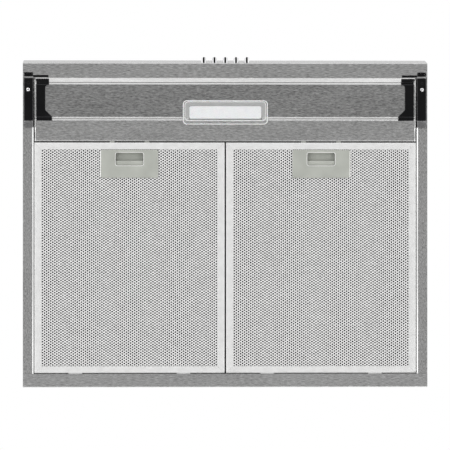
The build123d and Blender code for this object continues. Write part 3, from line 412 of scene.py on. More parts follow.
@dataclass(frozen=True)
class MouldedPlastic(Surface):
    """Moulded plastic with a fine spark-eroded texture and a painted highlight on its edges."""

    tones: Span = (0.94, 1.06)
    patch: Size = (25 * MM,) * 3
    tooth: Size = (0.35 * MM,) * 3
    relief: Span = (0.5, 0.05 * MM)
    painted_bevel_highlight: float = 20 / 3

    def toned(self, bench: Bench, patches: Socket) -> Socket:
        """Lightens the tone where the surface is neither level nor upright, as a painted highlight on the bevels.

        Args:
            bench: The material's node sheet.
            patches: The slow noise.

        Returns:
            The tone, 0 to 1 and more on an edge.
        """
        # Painted highlight: lighter on bevels, most where the surface leans halfway.
        level = bench.facing()["Z"]
        squared = bench.product(level, level)
        bevel = bench.product(bench.math("MULTIPLY_ADD", squared, -1.0, 1.0), squared)
        return bench.math("ADD", bench.spread(patches, 0.0, 1.0), bench.product(bevel, self.painted_bevel_highlight))


@dataclass(frozen=True)
class Chrome(Surface):
    """Bright chrome plate with faint smudges, and no relief."""

    colour: Colour = (0.82, 0.82, 0.83)
    tones: Span = (0.96, 1.03)
    roughness: float = 0.09
    change: Span = (-0.03, 0.05)
    patch: Size = (4 * MM,) * 3
    detail: float = 3.0

    def lay(self, bench: Bench) -> None:
        """Lays faint smudges in the colour and the gloss.

        Args:
            bench: The material's node sheet.
        """
        smudges = bench.noise(self.patch, self.detail)
        bench.tint(self.toned(bench, smudges), self.colour, self.tones)
        bench.gloss(smudges, self.roughness, self.change)
        bench.fix({"Metallic": 1.0})


@dataclass(frozen=True)
class ButtonChrome(Chrome):
    """Chrome of the push buttons, with a painted dark reflection along the middle of each."""

    line: Colour = (0.03, 0.03, 0.032)
    painted_reflection_span: Span = (0.3, 0.38)
    lowest: float = -0.5

    def lay(self, bench: Bench) -> None:
        """Lays the smudges, then a painted dark reflection where the surface looks straight down.

        Args:
            bench: The material's node sheet.
        """
        super().lay(bench)
        plated = bench.shader.inputs["Base Color"].links[0].from_socket
        facing = bench.facing()
        # Painted reflection: a dark line down each button's middle, where it faces straight down.
        aside = bench.ramp(bench.math("ABSOLUTE", facing["X"]), self.painted_reflection_span)
        above = bench.math("GREATER_THAN", facing["Z"], self.lowest)
        bench.wire("Base Color", bench.blend(bench.math("MAXIMUM", aside, above), self.line, plated))


@dataclass(frozen=True)
class ZincPlate(Surface):
    """Plated zinc with its crystals."""

    colour: Colour = (0.6, 0.61, 0.62)
    tones: Span = (0.88, 1.12)
    roughness: float = 0.42
    change: Span = (-0.08, 0.08)
    patch: Size = (9 * MM,) * 3
    tooth: Size = (0.8 * MM,) * 3
    tooth_shines: bool = True
    relief: Span = (0.2, 0.03 * MM)
    constants: tuple[tuple[str, float], ...] = (("Metallic", 0.9),)

    def toned(self, bench: Bench, patches: Socket) -> Socket:
        """A random tone for each crystal."""
        return bench.node("ShaderNodeTexVoronoi", {"Vector": bench.scaled(self.patch), "Scale": 1.0}).outputs["Color"]


@dataclass(frozen=True)
class PaintedMetal(Surface):
    """Baked paint with orange peel, as on the motor."""

    tones: Span = (0.92, 1.08)
    roughness: float = 0.38
    change: Span = (-0.04, 0.04)
    patch: Size = (18 * MM,) * 3
    tooth: Size = (1.6 * MM,) * 3
    tooth_detail: float = 1.0
    tooth_shines: bool = True
    relief: Span = (0.3, 0.05 * MM)
    constants: tuple[tuple[str, float], ...] = (("Coat Weight", 0.2), ("Coat Roughness", 0.2))


OPAL_CONSTANTS = (("Subsurface Weight", 0.1), ("Subsurface Scale", 0.002))
SEMI_METAL = (("Metallic", 0.15),)

STEEL_X = BrushedSteel("steel_brushed_x")
STEEL_Y = BendSteel("steel_brushed_y", Grain.ALONG_Y)
# The lamp panel's steel, with painted shade on its trough floor.
TROUGH_STEEL = TroughSteel("steel_brushed_trough_shaded", mark=(0.8 * MM, 4.4 * MM))
# A lighter copy of the brushed steel: painted light on the back strip.
REAR_LIT_STEEL = BrushedSteel("steel_brushed_rear_lit", colour=(0.735, 0.735, 0.731), mark=(0.85 * MM, 7 * MM))
FASCIA_STEEL = BrushedSteel("steel_brushed_fascia", edge_tint=0.72, contrast=0.46, mark=(0.8 * MM, 7 * MM))
ROOF_STEEL = BrushedSteel("steel_rolled_x", roughness=0.42, contrast=0.08)
CLIP_STEEL = BrushedSteel("steel_clip", colour=(0.34, 0.34, 0.345), contrast=0.2)
# Lighter than the sheets' steel: a painted highlight on the slanted edge trims.
EDGE_HIGHLIGHT_STEEL = BrushedSteel("steel_edge_highlight", colour=(0.84, 0.84, 0.835), contrast=0.06, roughness=0.3)
FRAME_ALUMINIUM = SatinAluminium("aluminium_frame", (0.87, 0.87, 0.865))
FACE_ALUMINIUM = SatinAluminium("aluminium_face_mesh", (0.93, 0.93, 0.925), roughness=0.42)
BACK_ALUMINIUM = SatinAluminium("aluminium_back_mesh", (0.62, 0.62, 0.61))
# Near black: painted shade inside the filter, seen through the face's holes.
SHADED_LAYER_ALUMINIUM = SatinAluminium(
    "aluminium_layers_shaded", (0.035, 0.035, 0.035), tones=(0.6, 1.4), patch=(3 * MM, 4 * MM, 3 * MM)
)
LATCH_PLASTIC = MouldedPlastic(
    "plastic_latch_grey", (0.505, 0.52, 0.475), roughness=0.42, constants=SEMI_METAL, painted_bevel_highlight=50 / 3
)
# Near white latch plastic: painted highlights round the finger pocket and on the plate's outer edge.
LATCH_HIGHLIGHT_PLASTIC = MouldedPlastic("plastic_latch_rim_highlight", (0.95, 0.96, 0.92), roughness=0.4, constants=SEMI_METAL)
BRACKET_PLASTIC = MouldedPlastic(
    "plastic_bracket_black",
    (0.0035, 0.0035, 0.004),
    roughness=0.28,
    constants=(("Specular IOR Level", 0.2),),
    painted_bevel_highlight=500 / 3,
)
SWITCH_PLASTIC = MouldedPlastic("plastic_switch_black", (0.02, 0.02, 0.021), roughness=0.4)
FAN_PLASTIC = MouldedPlastic("plastic_fan_grey", (0.10, 0.105, 0.11), roughness=0.55)
WHEEL_PLASTIC = MouldedPlastic("plastic_wheel_dark", (0.05, 0.052, 0.055), roughness=0.5)
COLLAR_PLASTIC = MouldedPlastic("plastic_collar_black", (0.028, 0.028, 0.03), roughness=0.5)
BOX_PLASTIC = MouldedPlastic("plastic_box_white", (0.74, 0.74, 0.71), roughness=0.45)
LAMP_BODY_PLASTIC = MouldedPlastic("plastic_lamp_body", (0.66, 0.66, 0.64), roughness=0.5)
# A black bead along the joint before the trough: a painted shadow.
SHADOW_BEAD_BLACK = MouldedPlastic("black_painted_shadow_bead", (0.015, 0.015, 0.015), roughness=0.6)
SURROUND_PLASTIC = MouldedPlastic("plastic_lamp_surround", (0.46, 0.46, 0.455), roughness=0.4)
# Near white: the lamp cover's beads paint the highlights on its edges.
LAMP_RIM_HIGHLIGHT_PLASTIC = Surface("plastic_lamp_rim_highlight", (0.985, 0.985, 0.985), constants=OPAL_CONSTANTS)
OPAL = Surface("plastic_lamp_opal", (0.93, 0.94, 0.95), constants=OPAL_CONSTANTS)
CLEAR = Surface(
    "plastic_lamp_clear",
    (0.9, 0.91, 0.91),
    roughness=0.15,
    patch=(6 * MM,) * 3,
    tooth=(6 * MM,) * 3,
    relief=(0.15, 0.1 * MM),
    constants=(("Alpha", 0.1), ("IOR", 1.49)),
)
BOARD = PaintedMetal("paint_circuit_board", (0.72, 0.74, 0.70), roughness=0.35)
MOTOR_PAINT = PaintedMetal("paint_motor", (0.12, 0.125, 0.13))
SCREW_CHROME = Chrome("chrome_screws", roughness=0.12)
BUTTON_CHROME = ButtonChrome("chrome_buttons", (0.93, 0.93, 0.935), roughness=0.05)
ZINC = ZincPlate("zinc_plate")


# ---------------------------------------------------------------- mesh helpers


def dress(finish: Finish, *node_names: str) -> None:
    """Gives CAD nodes their finish.

    Args:
        finish: The finish.
        node_names: The CAD nodes.
    """
    for node_name in node_names:
        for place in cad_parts[node_name].material_slots:
            place.material = finish.material()
        log.info("%s: dressed in %s", node_name, finish.name)


def fit_piece(
    name: str, mesh: Mesh, finish: Finish, body: str, stands_for: tuple[str, ...] = ()
) -> bpy.types.Object:
    """Puts a finished mesh in the scene and joins it to the frame.

    Args:
        name: The piece's name.
        mesh: Its mesh, already in place.
        finish: Its finish.
        body: The CAD body that it rides on.
        stands_for: The CAD nodes that it replaces.

    Returns:
        The piece.
    """
    piece = add_object(name, mesh)
    mesh.materials.clear()
    mesh.materials.append(finish.material())
    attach(piece, body)
    if stands_for:
        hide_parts(*stands_for)
    log.info("%s: %d faces on %s", name, len(mesh.polygons), body)
    return piece


def finished(mesh: WorkMesh, name: str, smooth_below: float) -> Mesh:
    """Turns a working mesh into a stored one and frees it.

    Args:
        mesh: The working mesh.
        name: The stored mesh's name.
        smooth_below: The angle in degrees from which an edge stays sharp.

    Returns:
        The stored mesh.
    """
    for face in mesh.faces:
        face.smooth = True
    for edge in mesh.edges:
        edge.smooth = len(edge.link_faces) == 2 and edge.calc_face_angle() < math.radians(smooth_below)
    result = bpy.data.meshes.new(name)
    mesh.to_mesh(result)
    mesh.free()
    return result


def sharp_edges(mesh: WorkMesh, above: float) -> list[bmesh.types.BMEdge]:
    """The edges between faces that meet at more than an angle in degrees."""
    return [e for e in mesh.edges if len(e.link_faces) == 2 and e.calc_face_angle() > math.radians(above)]


def round_off(mesh: WorkMesh, edges: list[bmesh.types.BMEdge], radius: float, steps: int, held: bool = True) -> None:
    """Rounds edges by a radius, in steps, held back or not where edges are short."""
    bmesh.ops.bevel(mesh, geom=edges, offset=radius, segments=steps, profile=0.5, affect="EDGES", clamp_overlap=held)


def add_block(mesh: WorkMesh, low: Vector, high: Vector) -> None:
    """Adds a block between two corners."""
    place = Matrix.Translation((low + high) / 2) @ Matrix.Diagonal((*(high - low), 1.0))
    bmesh.ops.create_cube(mesh, size=1.0, matrix=place)


def add_bar(mesh: WorkMesh, ends: list[list[Vector]]) -> None:
    """Adds a closed bar between two rings of points.

    Args:
        mesh: The working mesh.
        ends: The two rings, with as many points each.
    """
    first, last = ([mesh.verts.new(point) for point in ring] for ring in ends)
    for index in range(len(first)):
        after = (index + 1) % len(first)
        mesh.faces.new((first[index], last[index], last[after], first[after]))
    mesh.faces.new(first)
    mesh.faces.new(reversed(last))


def welded(node_name: str) -> WorkMesh:
    """Joins a CAD node's loose triangles and makes its flat faces whole.

    Args:
        node_name: The CAD node.

    Returns:
        The working mesh.
    """
    mesh = bmesh.new()
    mesh.from_mesh(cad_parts[node_name].data)
    bmesh.ops.remove_doubles(mesh, verts=mesh.verts, dist=WELD)
    bmesh.ops.dissolve_limit(mesh, angle_limit=math.radians(FLAT_ANGLE), verts=mesh.verts, edges=mesh.edges)
    return mesh


@dataclass(frozen=True)
class Softening:
    """How a CAD node's sharp edges are rounded, and on what body the result goes."""

    body: str
    slot: str
    finish: Finish
    radius: float
    steps: int = 2
    held: bool = False
    sharp_above: float = 35
    smooth_below: float = 22

    def fit(self, node_name: str, play: float = 0.0) -> bpy.types.Object:
        """Rounds a CAD node and puts the result in its place.

        Args:
            node_name: The CAD node.
            play: How far its front end is drawn back, and the rest in proportion.

        Returns:
            The piece that stands for the node.
        """
        low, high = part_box(node_name)
        mesh = welded(node_name)
        round_off(mesh, sharp_edges(mesh, self.sharp_above), self.radius, self.steps, self.held)
        made = finished(mesh, node_name + "_soft", self.smooth_below)
        for vertex in made.vertices:
            vertex.co.y += play * (high.y - vertex.co.y) / (high.y - low.y)
        return fit_piece(made.name, made, self.finish, self.body, (node_name,))


def straight_run(name: str, along: Grain, section: Line, start: float, end: float) -> Mesh:
    """A section run straight along an axis, with its long edges broken.

    Args:
        name: The mesh's name.
        along: The axis that it follows.
        section: Points of the section: Y and Z for a run along X, X and Z for one along Y.
        start: Where the run starts.
        end: Where it ends.

    Returns:
        The mesh.
    """
    mesh = bmesh.new()
    lengthwise = along is Grain.ALONG_X
    add_bar(mesh, [[Vector((s, u, z) if lengthwise else (u, s, z)) for u, z in section] for s in (start, end)])
    bmesh.ops.recalc_face_normals(mesh, faces=mesh.faces)
    round_off(mesh, sharp_edges(mesh, above=50), EDGE_BREAK, steps=2)
    return finished(mesh, name, smooth_below=40)


def islands(node_name: str) -> list[tuple[Vector, Vector]]:
    """The boxes of the separate solids in a CAD node.

    Args:
        node_name: The CAD node.

    Returns:
        The lowest and highest corner of each solid, sorted by X, then Y.
    """
    mesh = welded(node_name)
    unseen = set(mesh.verts)
    boxes = []
    while unseen:
        waiting = [unseen.pop()]
        places = []
        while waiting:
            vertex = waiting.pop()
            places.append(vertex.co.copy())
            found = {edge.other_vert(vertex) for edge in vertex.link_edges} & unseen
            unseen -= found
            waiting += found
        low, high = (Vector([pick(place[axis] for place in places) for axis in range(3)]) for pick in (min, max))
        boxes.append((low, high))
    mesh.free()
    return sorted(boxes, key=lambda box: (round(box[0].x, 4), round(box[0].y, 4)))


# ---------------------------------------------------------------- trees


class TreeMaker(NodeSheet):
    """A Geometry Nodes tree with named inputs, laid out in script."""

    def __init__(self, name: str) -> None:
        """Starts an empty tree.

        Args:
            name: The tree's name.
        """
        super().__init__(bpy.data.node_groups.new(name, "GeometryNodeTree"))
        self.tree.is_modifier = True
        for way in ("INPUT", "OUTPUT"):
            self.tree.interface.new_socket("Geometry", in_out=way, socket_type="NodeSocketGeometry")
        self.start = self.node("NodeGroupInput")
        self.end = self.node("NodeGroupOutput")

    def named(self, kind: str, *names: str) -> list[Socket]:
        """Adds named inputs.

        Args:
            kind: Float, Int, Vector or Material.
            names: The inputs' names.

        Returns:
            Their sockets.
        """
        for name in names:
            self.tree.interface.new_socket(name, in_out="INPUT", socket_type="NodeSocket" + kind)
        return [self.start.outputs[name] for name in names]

    def shape(self, kind: str, inputs: dict[object, object], **settings: object) -> Socket:
        """The shape that comes out of a geometry node."""
        return self.node("GeometryNode" + kind, inputs, **settings).outputs[0]

    def joined(self, x: object, y: object, z: object = 0.0) -> Socket:
        """A vector from three values."""
        return self.node("ShaderNodeCombineXYZ", {0: x, 1: y, 2: z}).outputs[0]

    def spot(self) -> bpy.types.NodeOutputs:
        """The X, Y and Z of each point."""
        return self.split(self.node("GeometryNodeInputPosition").outputs[0])

    def moved(self, shape: Socket, **changes: object) -> Socket:
        """A shape with a new Translation or Rotation."""
        return self.shape("Transform", {"Geometry": shape, **changes})

    def seated(self, points: Socket, shape: Socket) -> Socket:
        """A shape on each point."""
        return self.shape("InstanceOnPoints", {"Points": points, "Instance": shape})

    def gathered(self, *shapes: Socket) -> Socket:
        """Puts several shapes together.

        Args:
            shapes: The shapes.

        Returns:
            Them as one.
        """
        node = self.node("GeometryNodeJoinGeometry")
        for shape in shapes:
            self.tree.links.new(shape, node.inputs[0])
        return node.outputs[0]

    def dome(self, segments: int, rings: int, radius: Socket, height: Socket) -> Socket:
        """A ball whose upper half is pressed to a height and whose lower half is level.

        Args:
            segments: Faces around it.
            rings: Faces from pole to pole.
            radius: Its radius.
            height: Its height.

        Returns:
            The shape.
        """
        ball = self.shape("MeshUVSphere", {"Segments": segments, "Rings": rings, "Radius": 1.0})
        spot = self.spot()
        lift = self.product(self.math("MAXIMUM", spot[2]), height)
        place = self.joined(self.product(spot[0], radius), self.product(spot[1], radius), lift)
        return self.shape("SetPosition", {"Geometry": ball, "Position": place})

    def close(self, geometry: Socket) -> None:
        """Ends the tree: instances become mesh and take the material.

        Args:
            geometry: What the tree has made.
        """
        (material,) = self.named("Material", "Material")
        real = self.shape("RealizeInstances", {"Geometry": geometry})
        self.tree.links.new(self.shape("SetMaterial", {"Geometry": real, "Material": material}), self.end.inputs[0])

    def run(self, name: str, finish: Finish, seats: list[Vector], values: dict[str, object]) -> Mesh:
        """Runs the tree once.

        Args:
            name: The name of the mesh that comes out.
            finish: Its finish.
            seats: The points that the tree starts from.
            values: What each other named input gets.

        Returns:
            The result as a plain mesh.
        """
        values = {**values, "Material": finish.material()}
        points = bpy.data.meshes.new(name + "_seats")
        points.from_pydata([tuple(seat) for seat in seats], [], [])
        holder = add_object(name + "_holder", points)
        modifier = holder.modifiers.new("Tree", "NODES")
        modifier.node_group = self.tree
        for item in self.tree.interface.items_tree:
            if item.in_out == "INPUT" and item.name in values:
                modifier[item.identifier] = values[item.name]
        bpy.context.view_layer.update()
        seen = holder.evaluated_get(bpy.context.evaluated_depsgraph_get())
        mesh = bpy.data.meshes.new_from_object(seen)
        mesh.name = name
        holder.modifiers.clear()
        bpy.data.objects.remove(holder)
        bpy.data.meshes.remove(points)
        return mesh


def pierced_sheet_tree() -> TreeMaker:
    """Lays out the tree of a pierced sheet: staggered six-sided cells, each with a dished round hole.

    Returns:
        The tree.
    """
    maker = TreeMaker("pierced_sheet")
    columns, rows = maker.named("Int", "Columns", "Rows")
    column_pitch, row_pitch, point, shoulder = maker.named(
        "Float", "Column Pitch", "Row Pitch", "Cell Point", "Cell Shoulder"
    )
    hole, wall = maker.named("Float", "Hole Radius", "Wall Height")
    middle, *cuts = maker.named("Vector", "Middle", "Cut Low", "Cut High")

    # A grid of seats, every other column shifted by half a row.
    width, depth = (
        maker.product(maker.math("SUBTRACT", count, 1.0), pitch)
        for count, pitch in ((columns, column_pitch), (rows, row_pitch))
    )
    sizes = {"Size X": width, "Size Y": depth, "Vertices X": columns, "Vertices Y": rows}
    from_edge = maker.math("ADD", maker.spot()[0], maker.product(width, 0.5))
    column = maker.math("ROUND", maker.math("DIVIDE", from_edge, column_pitch))
    stagger = maker.product(maker.math("FLOORED_MODULO", column, 2.0), row_pitch, 0.5)
    shift = maker.node("ShaderNodeVectorMath", {0: middle, 1: maker.joined(0.0, stagger)}, operation="ADD")
    spread = maker.shape("SetPosition", {"Geometry": maker.shape("MeshGrid", sizes), "Offset": shift.outputs[0]})

    # None where the latch is.
    spot = maker.spot()
    (low, high) = (maker.split(cut) for cut in cuts)
    sides = [maker.math("GREATER_THAN", spot[axis], low[axis]) for axis in (0, 1)]
    sides += [maker.math("LESS_THAN", spot[axis], high[axis]) for axis in (0, 1)]
    seats = maker.shape("DeleteGeometry", {"Geometry": spread, "Selection": maker.product(*sides)}, domain="POINT")

    # One cell: a ring of six corners that keeps its round form in mind for the hole.
    ring = maker.shape("MeshCircle", {"Vertices": 6, "Radius": 1.0})
    around = maker.node("GeometryNodeInputPosition").outputs[0]
    keep = {"Geometry": ring, "Name": "round"}
    kept = maker.node("GeometryNodeStoreNamedAttribute", keep, data_type="FLOAT_VECTOR", domain="POINT")
    maker.tree.links.new(around, next(socket for socket in kept.inputs if socket.name == "Value" and socket.enabled))
    corner = maker.split(around)
    reach = maker.product(maker.math("SUBTRACT", maker.math("ABSOLUTE", corner[0]), 0.5), 2.0)
    run = maker.math("MULTIPLY_ADD", reach, maker.math("SUBTRACT", point, shoulder), shoulder)
    outline = maker.joined(
        maker.product(maker.math("SIGN", corner[0]), run), maker.product(corner[1], row_pitch, 1 / math.sqrt(3))
    )
    cell = maker.shape("SetPosition", {"Geometry": kept.outputs[0], "Position": outline})

    # The web between the cell's outline and the hole, then the hole's wall.
    web = maker.node("GeometryNodeExtrudeMesh", {"Mesh": cell, "Offset Scale": 0.0}, mode="EDGES")
    top = web.outputs["Top"]
    saved = maker.node("GeometryNodeInputNamedAttribute", {"Name": "round"}, data_type="FLOAT_VECTOR")
    rim = maker.node("ShaderNodeVectorMath", {0: saved.outputs[0], 3: hole}, operation="SCALE").outputs[0]
    pierced = maker.shape("SetPosition", {"Geometry": web.outputs["Mesh"], "Selection": top, "Position": rim})
    inwards = {"Mesh": pierced, "Selection": top, "Offset": maker.joined(0.0, 0.0, wall), "Offset Scale": 1.0}
    dished = maker.shape("ExtrudeMesh", inwards, mode="EDGES")
    real = maker.shape("RealizeInstances", {"Geometry": maker.seated(seats, dished)})
    maker.close(maker.shape("MergeByDistance", {"Geometry": real, "Distance": CELL_WELD}))
    return maker


def pan_screw_tree() -> TreeMaker:
    """Lays out the tree of pan head screws with a cross recess, one on each seat.

    Returns:
        The tree.
    """
    maker = TreeMaker("pan_screws")
    head, height, shank, length, recess, way = maker.named(
        "Float", "Head Radius", "Head Height", "Shank Radius", "Shank Length", "Recess Width", "Way"
    )
    dome = maker.dome(SCREW_SEGMENTS, SCREW_RINGS, head, height)
    sewn = maker.shape("MergeByDistance", {"Geometry": dome, "Distance": WELD})
    cut = maker.node("GeometryNodeMeshBoolean", {"Mesh 1": sewn}, operation="DIFFERENCE", solver="EXACT")
    blade, depth = maker.product(head, RECESS_REACH), maker.product(height, RECESS_DEPTH)
    for x, y in ((blade, recess), (recess, blade)):
        bar = maker.shape("MeshCube", {"Size": maker.joined(x, y, depth)})
        raised = maker.moved(bar, Translation=maker.joined(0.0, 0.0, height))
        maker.tree.links.new(raised, cut.inputs["Mesh 2"])
    stem = maker.shape("MeshCylinder", {"Vertices": 16, "Radius": shank, "Depth": length})
    sunk = maker.moved(stem, Translation=maker.joined(0.0, 0.0, maker.product(length, -0.5)))
    turn = maker.joined(maker.product(way, math.pi), 0.0, RECESS_TURN)
    turned = maker.moved(maker.gathered(sunk, cut.outputs["Mesh"]), Rotation=turn)
    maker.close(maker.seated(maker.start.outputs[0], turned))
    return maker


def rivet_tree() -> TreeMaker:
    """Lays out the tree of pop rivets: a low dome with the broken pin in its middle, one on each seat.

    Returns:
        The tree.
    """
    maker = TreeMaker("pop_rivets")
    radius, height, pin = maker.named("Float", "Head Radius", "Head Height", "Pin Radius")
    stub = maker.shape("MeshCylinder", {"Vertices": 12, "Radius": pin, "Depth": maker.product(height, PIN_DEPTH)})
    rivet = maker.gathered(maker.dome(RIVET_SEGMENTS, RIVET_RINGS, radius, height), stub)
    maker.close(maker.seated(maker.start.outputs[0], rivet))
    return maker


def rim_tree() -> TreeMaker:
    """Lays out the tree of a round bead that follows a rectangle with rounded corners.

    Returns:
        The tree.
    """
    maker = TreeMaker("moulded_rim")
    width, depth, corner, radius = maker.named("Float", "Width", "Depth", "Corner", "Radius")
    (middle,) = maker.named("Vector", "Middle")
    path = maker.shape("CurvePrimitiveQuadrilateral", {"Width": width, "Height": depth})
    turned = maker.shape("FilletCurve", {"Curve": path, "Radius": corner, "Count": 8}, mode="POLY")
    ring = maker.shape("CurvePrimitiveCircle", {"Resolution": 12, "Radius": radius})
    bead = maker.shape("CurveToMesh", {"Curve": turned, "Profile Curve": ring})
    maker.close(maker.moved(bead, Translation=middle))
    return maker


# ---------------------------------------------------------------- the hood's sub-assemblies


@dataclass
class EdgeTrims:
    """The slanted bright edges round the filters, in a steel lighter than the sheets that paints a highlight on top of
    what their slant reflects, and the black bead before the trough, a painted shadow of the joint.

    A section gives each point's distance from its edge and its height above the rim, in millimetres.
    """

    side_start: float = 286.0
    side_clearance: float = 0.8
    side_lip: float = 0.5
    side_levels: tuple[float, ...] = (0.05, 1.4, 4.0, 4.0, 1.7)
    panel_end: Line = ((0.0, 1.5), (-1.2, 1.98), (-1.2, 2.4), (0.0, 2.4))
    panel_tip: Line = ((0.0, 1.7), (-0.7, 1.98), (-0.7, 2.3), (0.0, 2.3))
    panel_rear: Line = ((-1.5, 1.9), (-0.1, 2.9), (-0.1, 3.3), (-1.5, 2.5))
    shadow_bead_radius: float = 0.34
    shadow_bead_middle: Span = (0.15, 3.95)
    shadow_bead_corners: int = 8

    def trim(self, name: str, along: Grain, section: Line, start: float, end: float) -> None:
        """Fits one trim along an axis.

        Args:
            name: The piece's name.
            along: The axis that it follows.
            section: Its section in millimetres.
            start: Where it starts.
            end: Where it ends.
        """
        mesh = straight_run(name, along, [(u * MM, z * MM) for u, z in section], start, end)
        finish, slot = (SHADOW_BEAD_BLACK, "switch_black") if name == "trough_shadow_bead" else (EDGE_HIGHLIGHT_STEEL, "hood_steel")
        fit_piece(name, mesh, finish, "hood")

    def build(self) -> None:
        """Makes the side edges, the panel's end edges, its rear edge and the black bead that paints the shadow of the
        joint before the trough.
        """
        frame_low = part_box("filter_frame_left")[0]
        panel_low, panel_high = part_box("lamp_panel")
        rear_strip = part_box("back_panel")[0].y
        clip_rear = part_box("bracket_clip_left")[1].y
        tip = -frame_low.x / MM + self.side_clearance
        side_edge = tuple(zip((self.side_start, tip, tip, tip + self.side_lip, tip + self.side_lip), self.side_levels))
        edge_x = panel_high.x / MM
        for side, sign in SIDES:
            for kind, edge, section, start, end in (
                ("side_edge_", 0.0, side_edge, clip_rear, rear_strip),
                ("panel_end_", edge_x, self.panel_end, clip_rear, panel_high.y),
                ("panel_tip_", edge_x, self.panel_tip, panel_low.y, clip_rear),
            ):
                placed = [(sign * (edge + u), z) for u, z in section]
                self.trim(kind + side, Grain.ALONG_Y, placed, start, end)
        reach = panel_high.x - self.side_clearance * MM
        placed = [(panel_high.y / MM + u, z) for u, z in self.panel_rear]
        self.trim("panel_rear_edge", Grain.ALONG_X, placed, -reach, reach)
        # The black bead along the joint between fascia and lamp panel, a painted shadow.
        y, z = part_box("front_fascia")[1].y / MM + self.shadow_bead_middle[0], self.shadow_bead_middle[1]
        angles = [2 * math.pi * step / self.shadow_bead_corners for step in range(self.shadow_bead_corners)]
        placed = [(y + self.shadow_bead_radius * math.cos(a), z + self.shadow_bead_radius * math.sin(a)) for a in angles]
        self.trim("trough_shadow_bead", Grain.ALONG_X, placed, -reach, reach)


@dataclass
class Canopy:
    """The steel body: fascia, lamp panel, sides, back, slope and top, with the rivets on its top."""

    rivet_radius: float = 2.4 * MM
    rivet_height: float = 0.9 * MM
    pin_share: float = 0.4
    rivet_inset: float = 9 * MM
    rivets_along: int = 5
    rear_rivet_xs: Span = (-0.15, 0.15)

    def rivet_seats(self) -> list[Vector]:
        """Sets the rivets out along both ends and the rear of the top sheet.

        Returns:
            Their places.
        """
        low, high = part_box("top_panel")
        inset = self.rivet_inset
        seats = []
        for step in range(self.rivets_along):
            y = low.y + inset + (high.y - low.y - 2 * inset) * step / (self.rivets_along - 1)
            seats += [Vector((x, y, high.z)) for x in (low.x + inset, high.x - inset)]
        return seats + [Vector((x, high.y - inset, high.z)) for x in self.rear_rivet_xs]

    def build(self, rivets: TreeMaker) -> None:
        """Gives each sheet its brushed finish and sets the rivets.

        Args:
            rivets: The rivets' tree.
        """
        dress(FASCIA_STEEL, "front_fascia")
        dress(STEEL_X, "slope_panel")
        dress(TROUGH_STEEL, "lamp_panel")
        dress(STEEL_Y, "side_panel_left", "side_panel_right")
        dress(REAR_LIT_STEEL, "back_panel")
        dress(ROOF_STEEL, "top_panel")
        pin = self.rivet_radius * self.pin_share
        values = {"Head Radius": self.rivet_radius, "Head Height": self.rivet_height, "Pin Radius": pin}
        fit_piece("top_rivets", rivets.run("top_rivets", ZINC, self.rivet_seats(), values), ZINC, "hood")


@dataclass
class Fixings:
    """The pan head screws, each set where the frame has it."""

    recess_share: float = 0.22
    height_share: float = 0.62

    def build(self, screws: TreeMaker) -> None:
        """Sets every group of screws.

        Args:
            screws: The screws' tree.
        """
        for node_name, finish, slot, heads, shank_share in (
            ("bracket_screws", SCREW_CHROME, "screw_chrome", Heads.BELOW, 0.5),
            ("housing_screws", ZINC, "zinc_steel", Heads.BELOW, 0.4),
            ("collar_screws", ZINC, "zinc_steel", Heads.ABOVE, 0.4),
            ("motor_screws", ZINC, "zinc_steel", Heads.ABOVE, 0.4),
        ):
            boxes = islands(node_name)
            low, high = boxes[0]
            head = (high.x - low.x) / 2
            height = head * self.height_share
            seats = []
            for low, high in boxes:
                z = low.z + height if heads is Heads.BELOW else high.z - height
                seats.append(Vector(((low.x + high.x) / 2, (low.y + high.y) / 2, z)))
            values = {
                "Head Radius": head,
                "Head Height": height,
                "Shank Radius": head * shank_share,
                "Shank Length": high.z - low.z - height,
                "Recess Width": head * self.recess_share,
                "Way": float(heads.value),
            }
            name = node_name + "_cross"
            fit_piece(name, screws.run(name, finish, seats, values), finish, "hood", (node_name,))


@dataclass
class Bead:
    """A round bead that follows a rectangle with rounded corners."""

    width: float
    depth: float
    corner: float
    radius: float
    middle: Size

    def fit(self, rims: TreeMaker, name: str, finish: Finish, body: str, slot: str) -> None:
        """Makes the bead and fits it.

        Args:
            rims: The rims' tree.
            name: The piece's name.
            finish: Its finish.
            body: The body that it rides on.
            slot: Not used.
        """
        values = {"Width": self.width, "Depth": self.depth, "Corner": self.corner}
        values |= {"Radius": self.radius, "Middle": self.middle}
        fit_piece(name, rims.run(name, finish, [], values), finish, body)


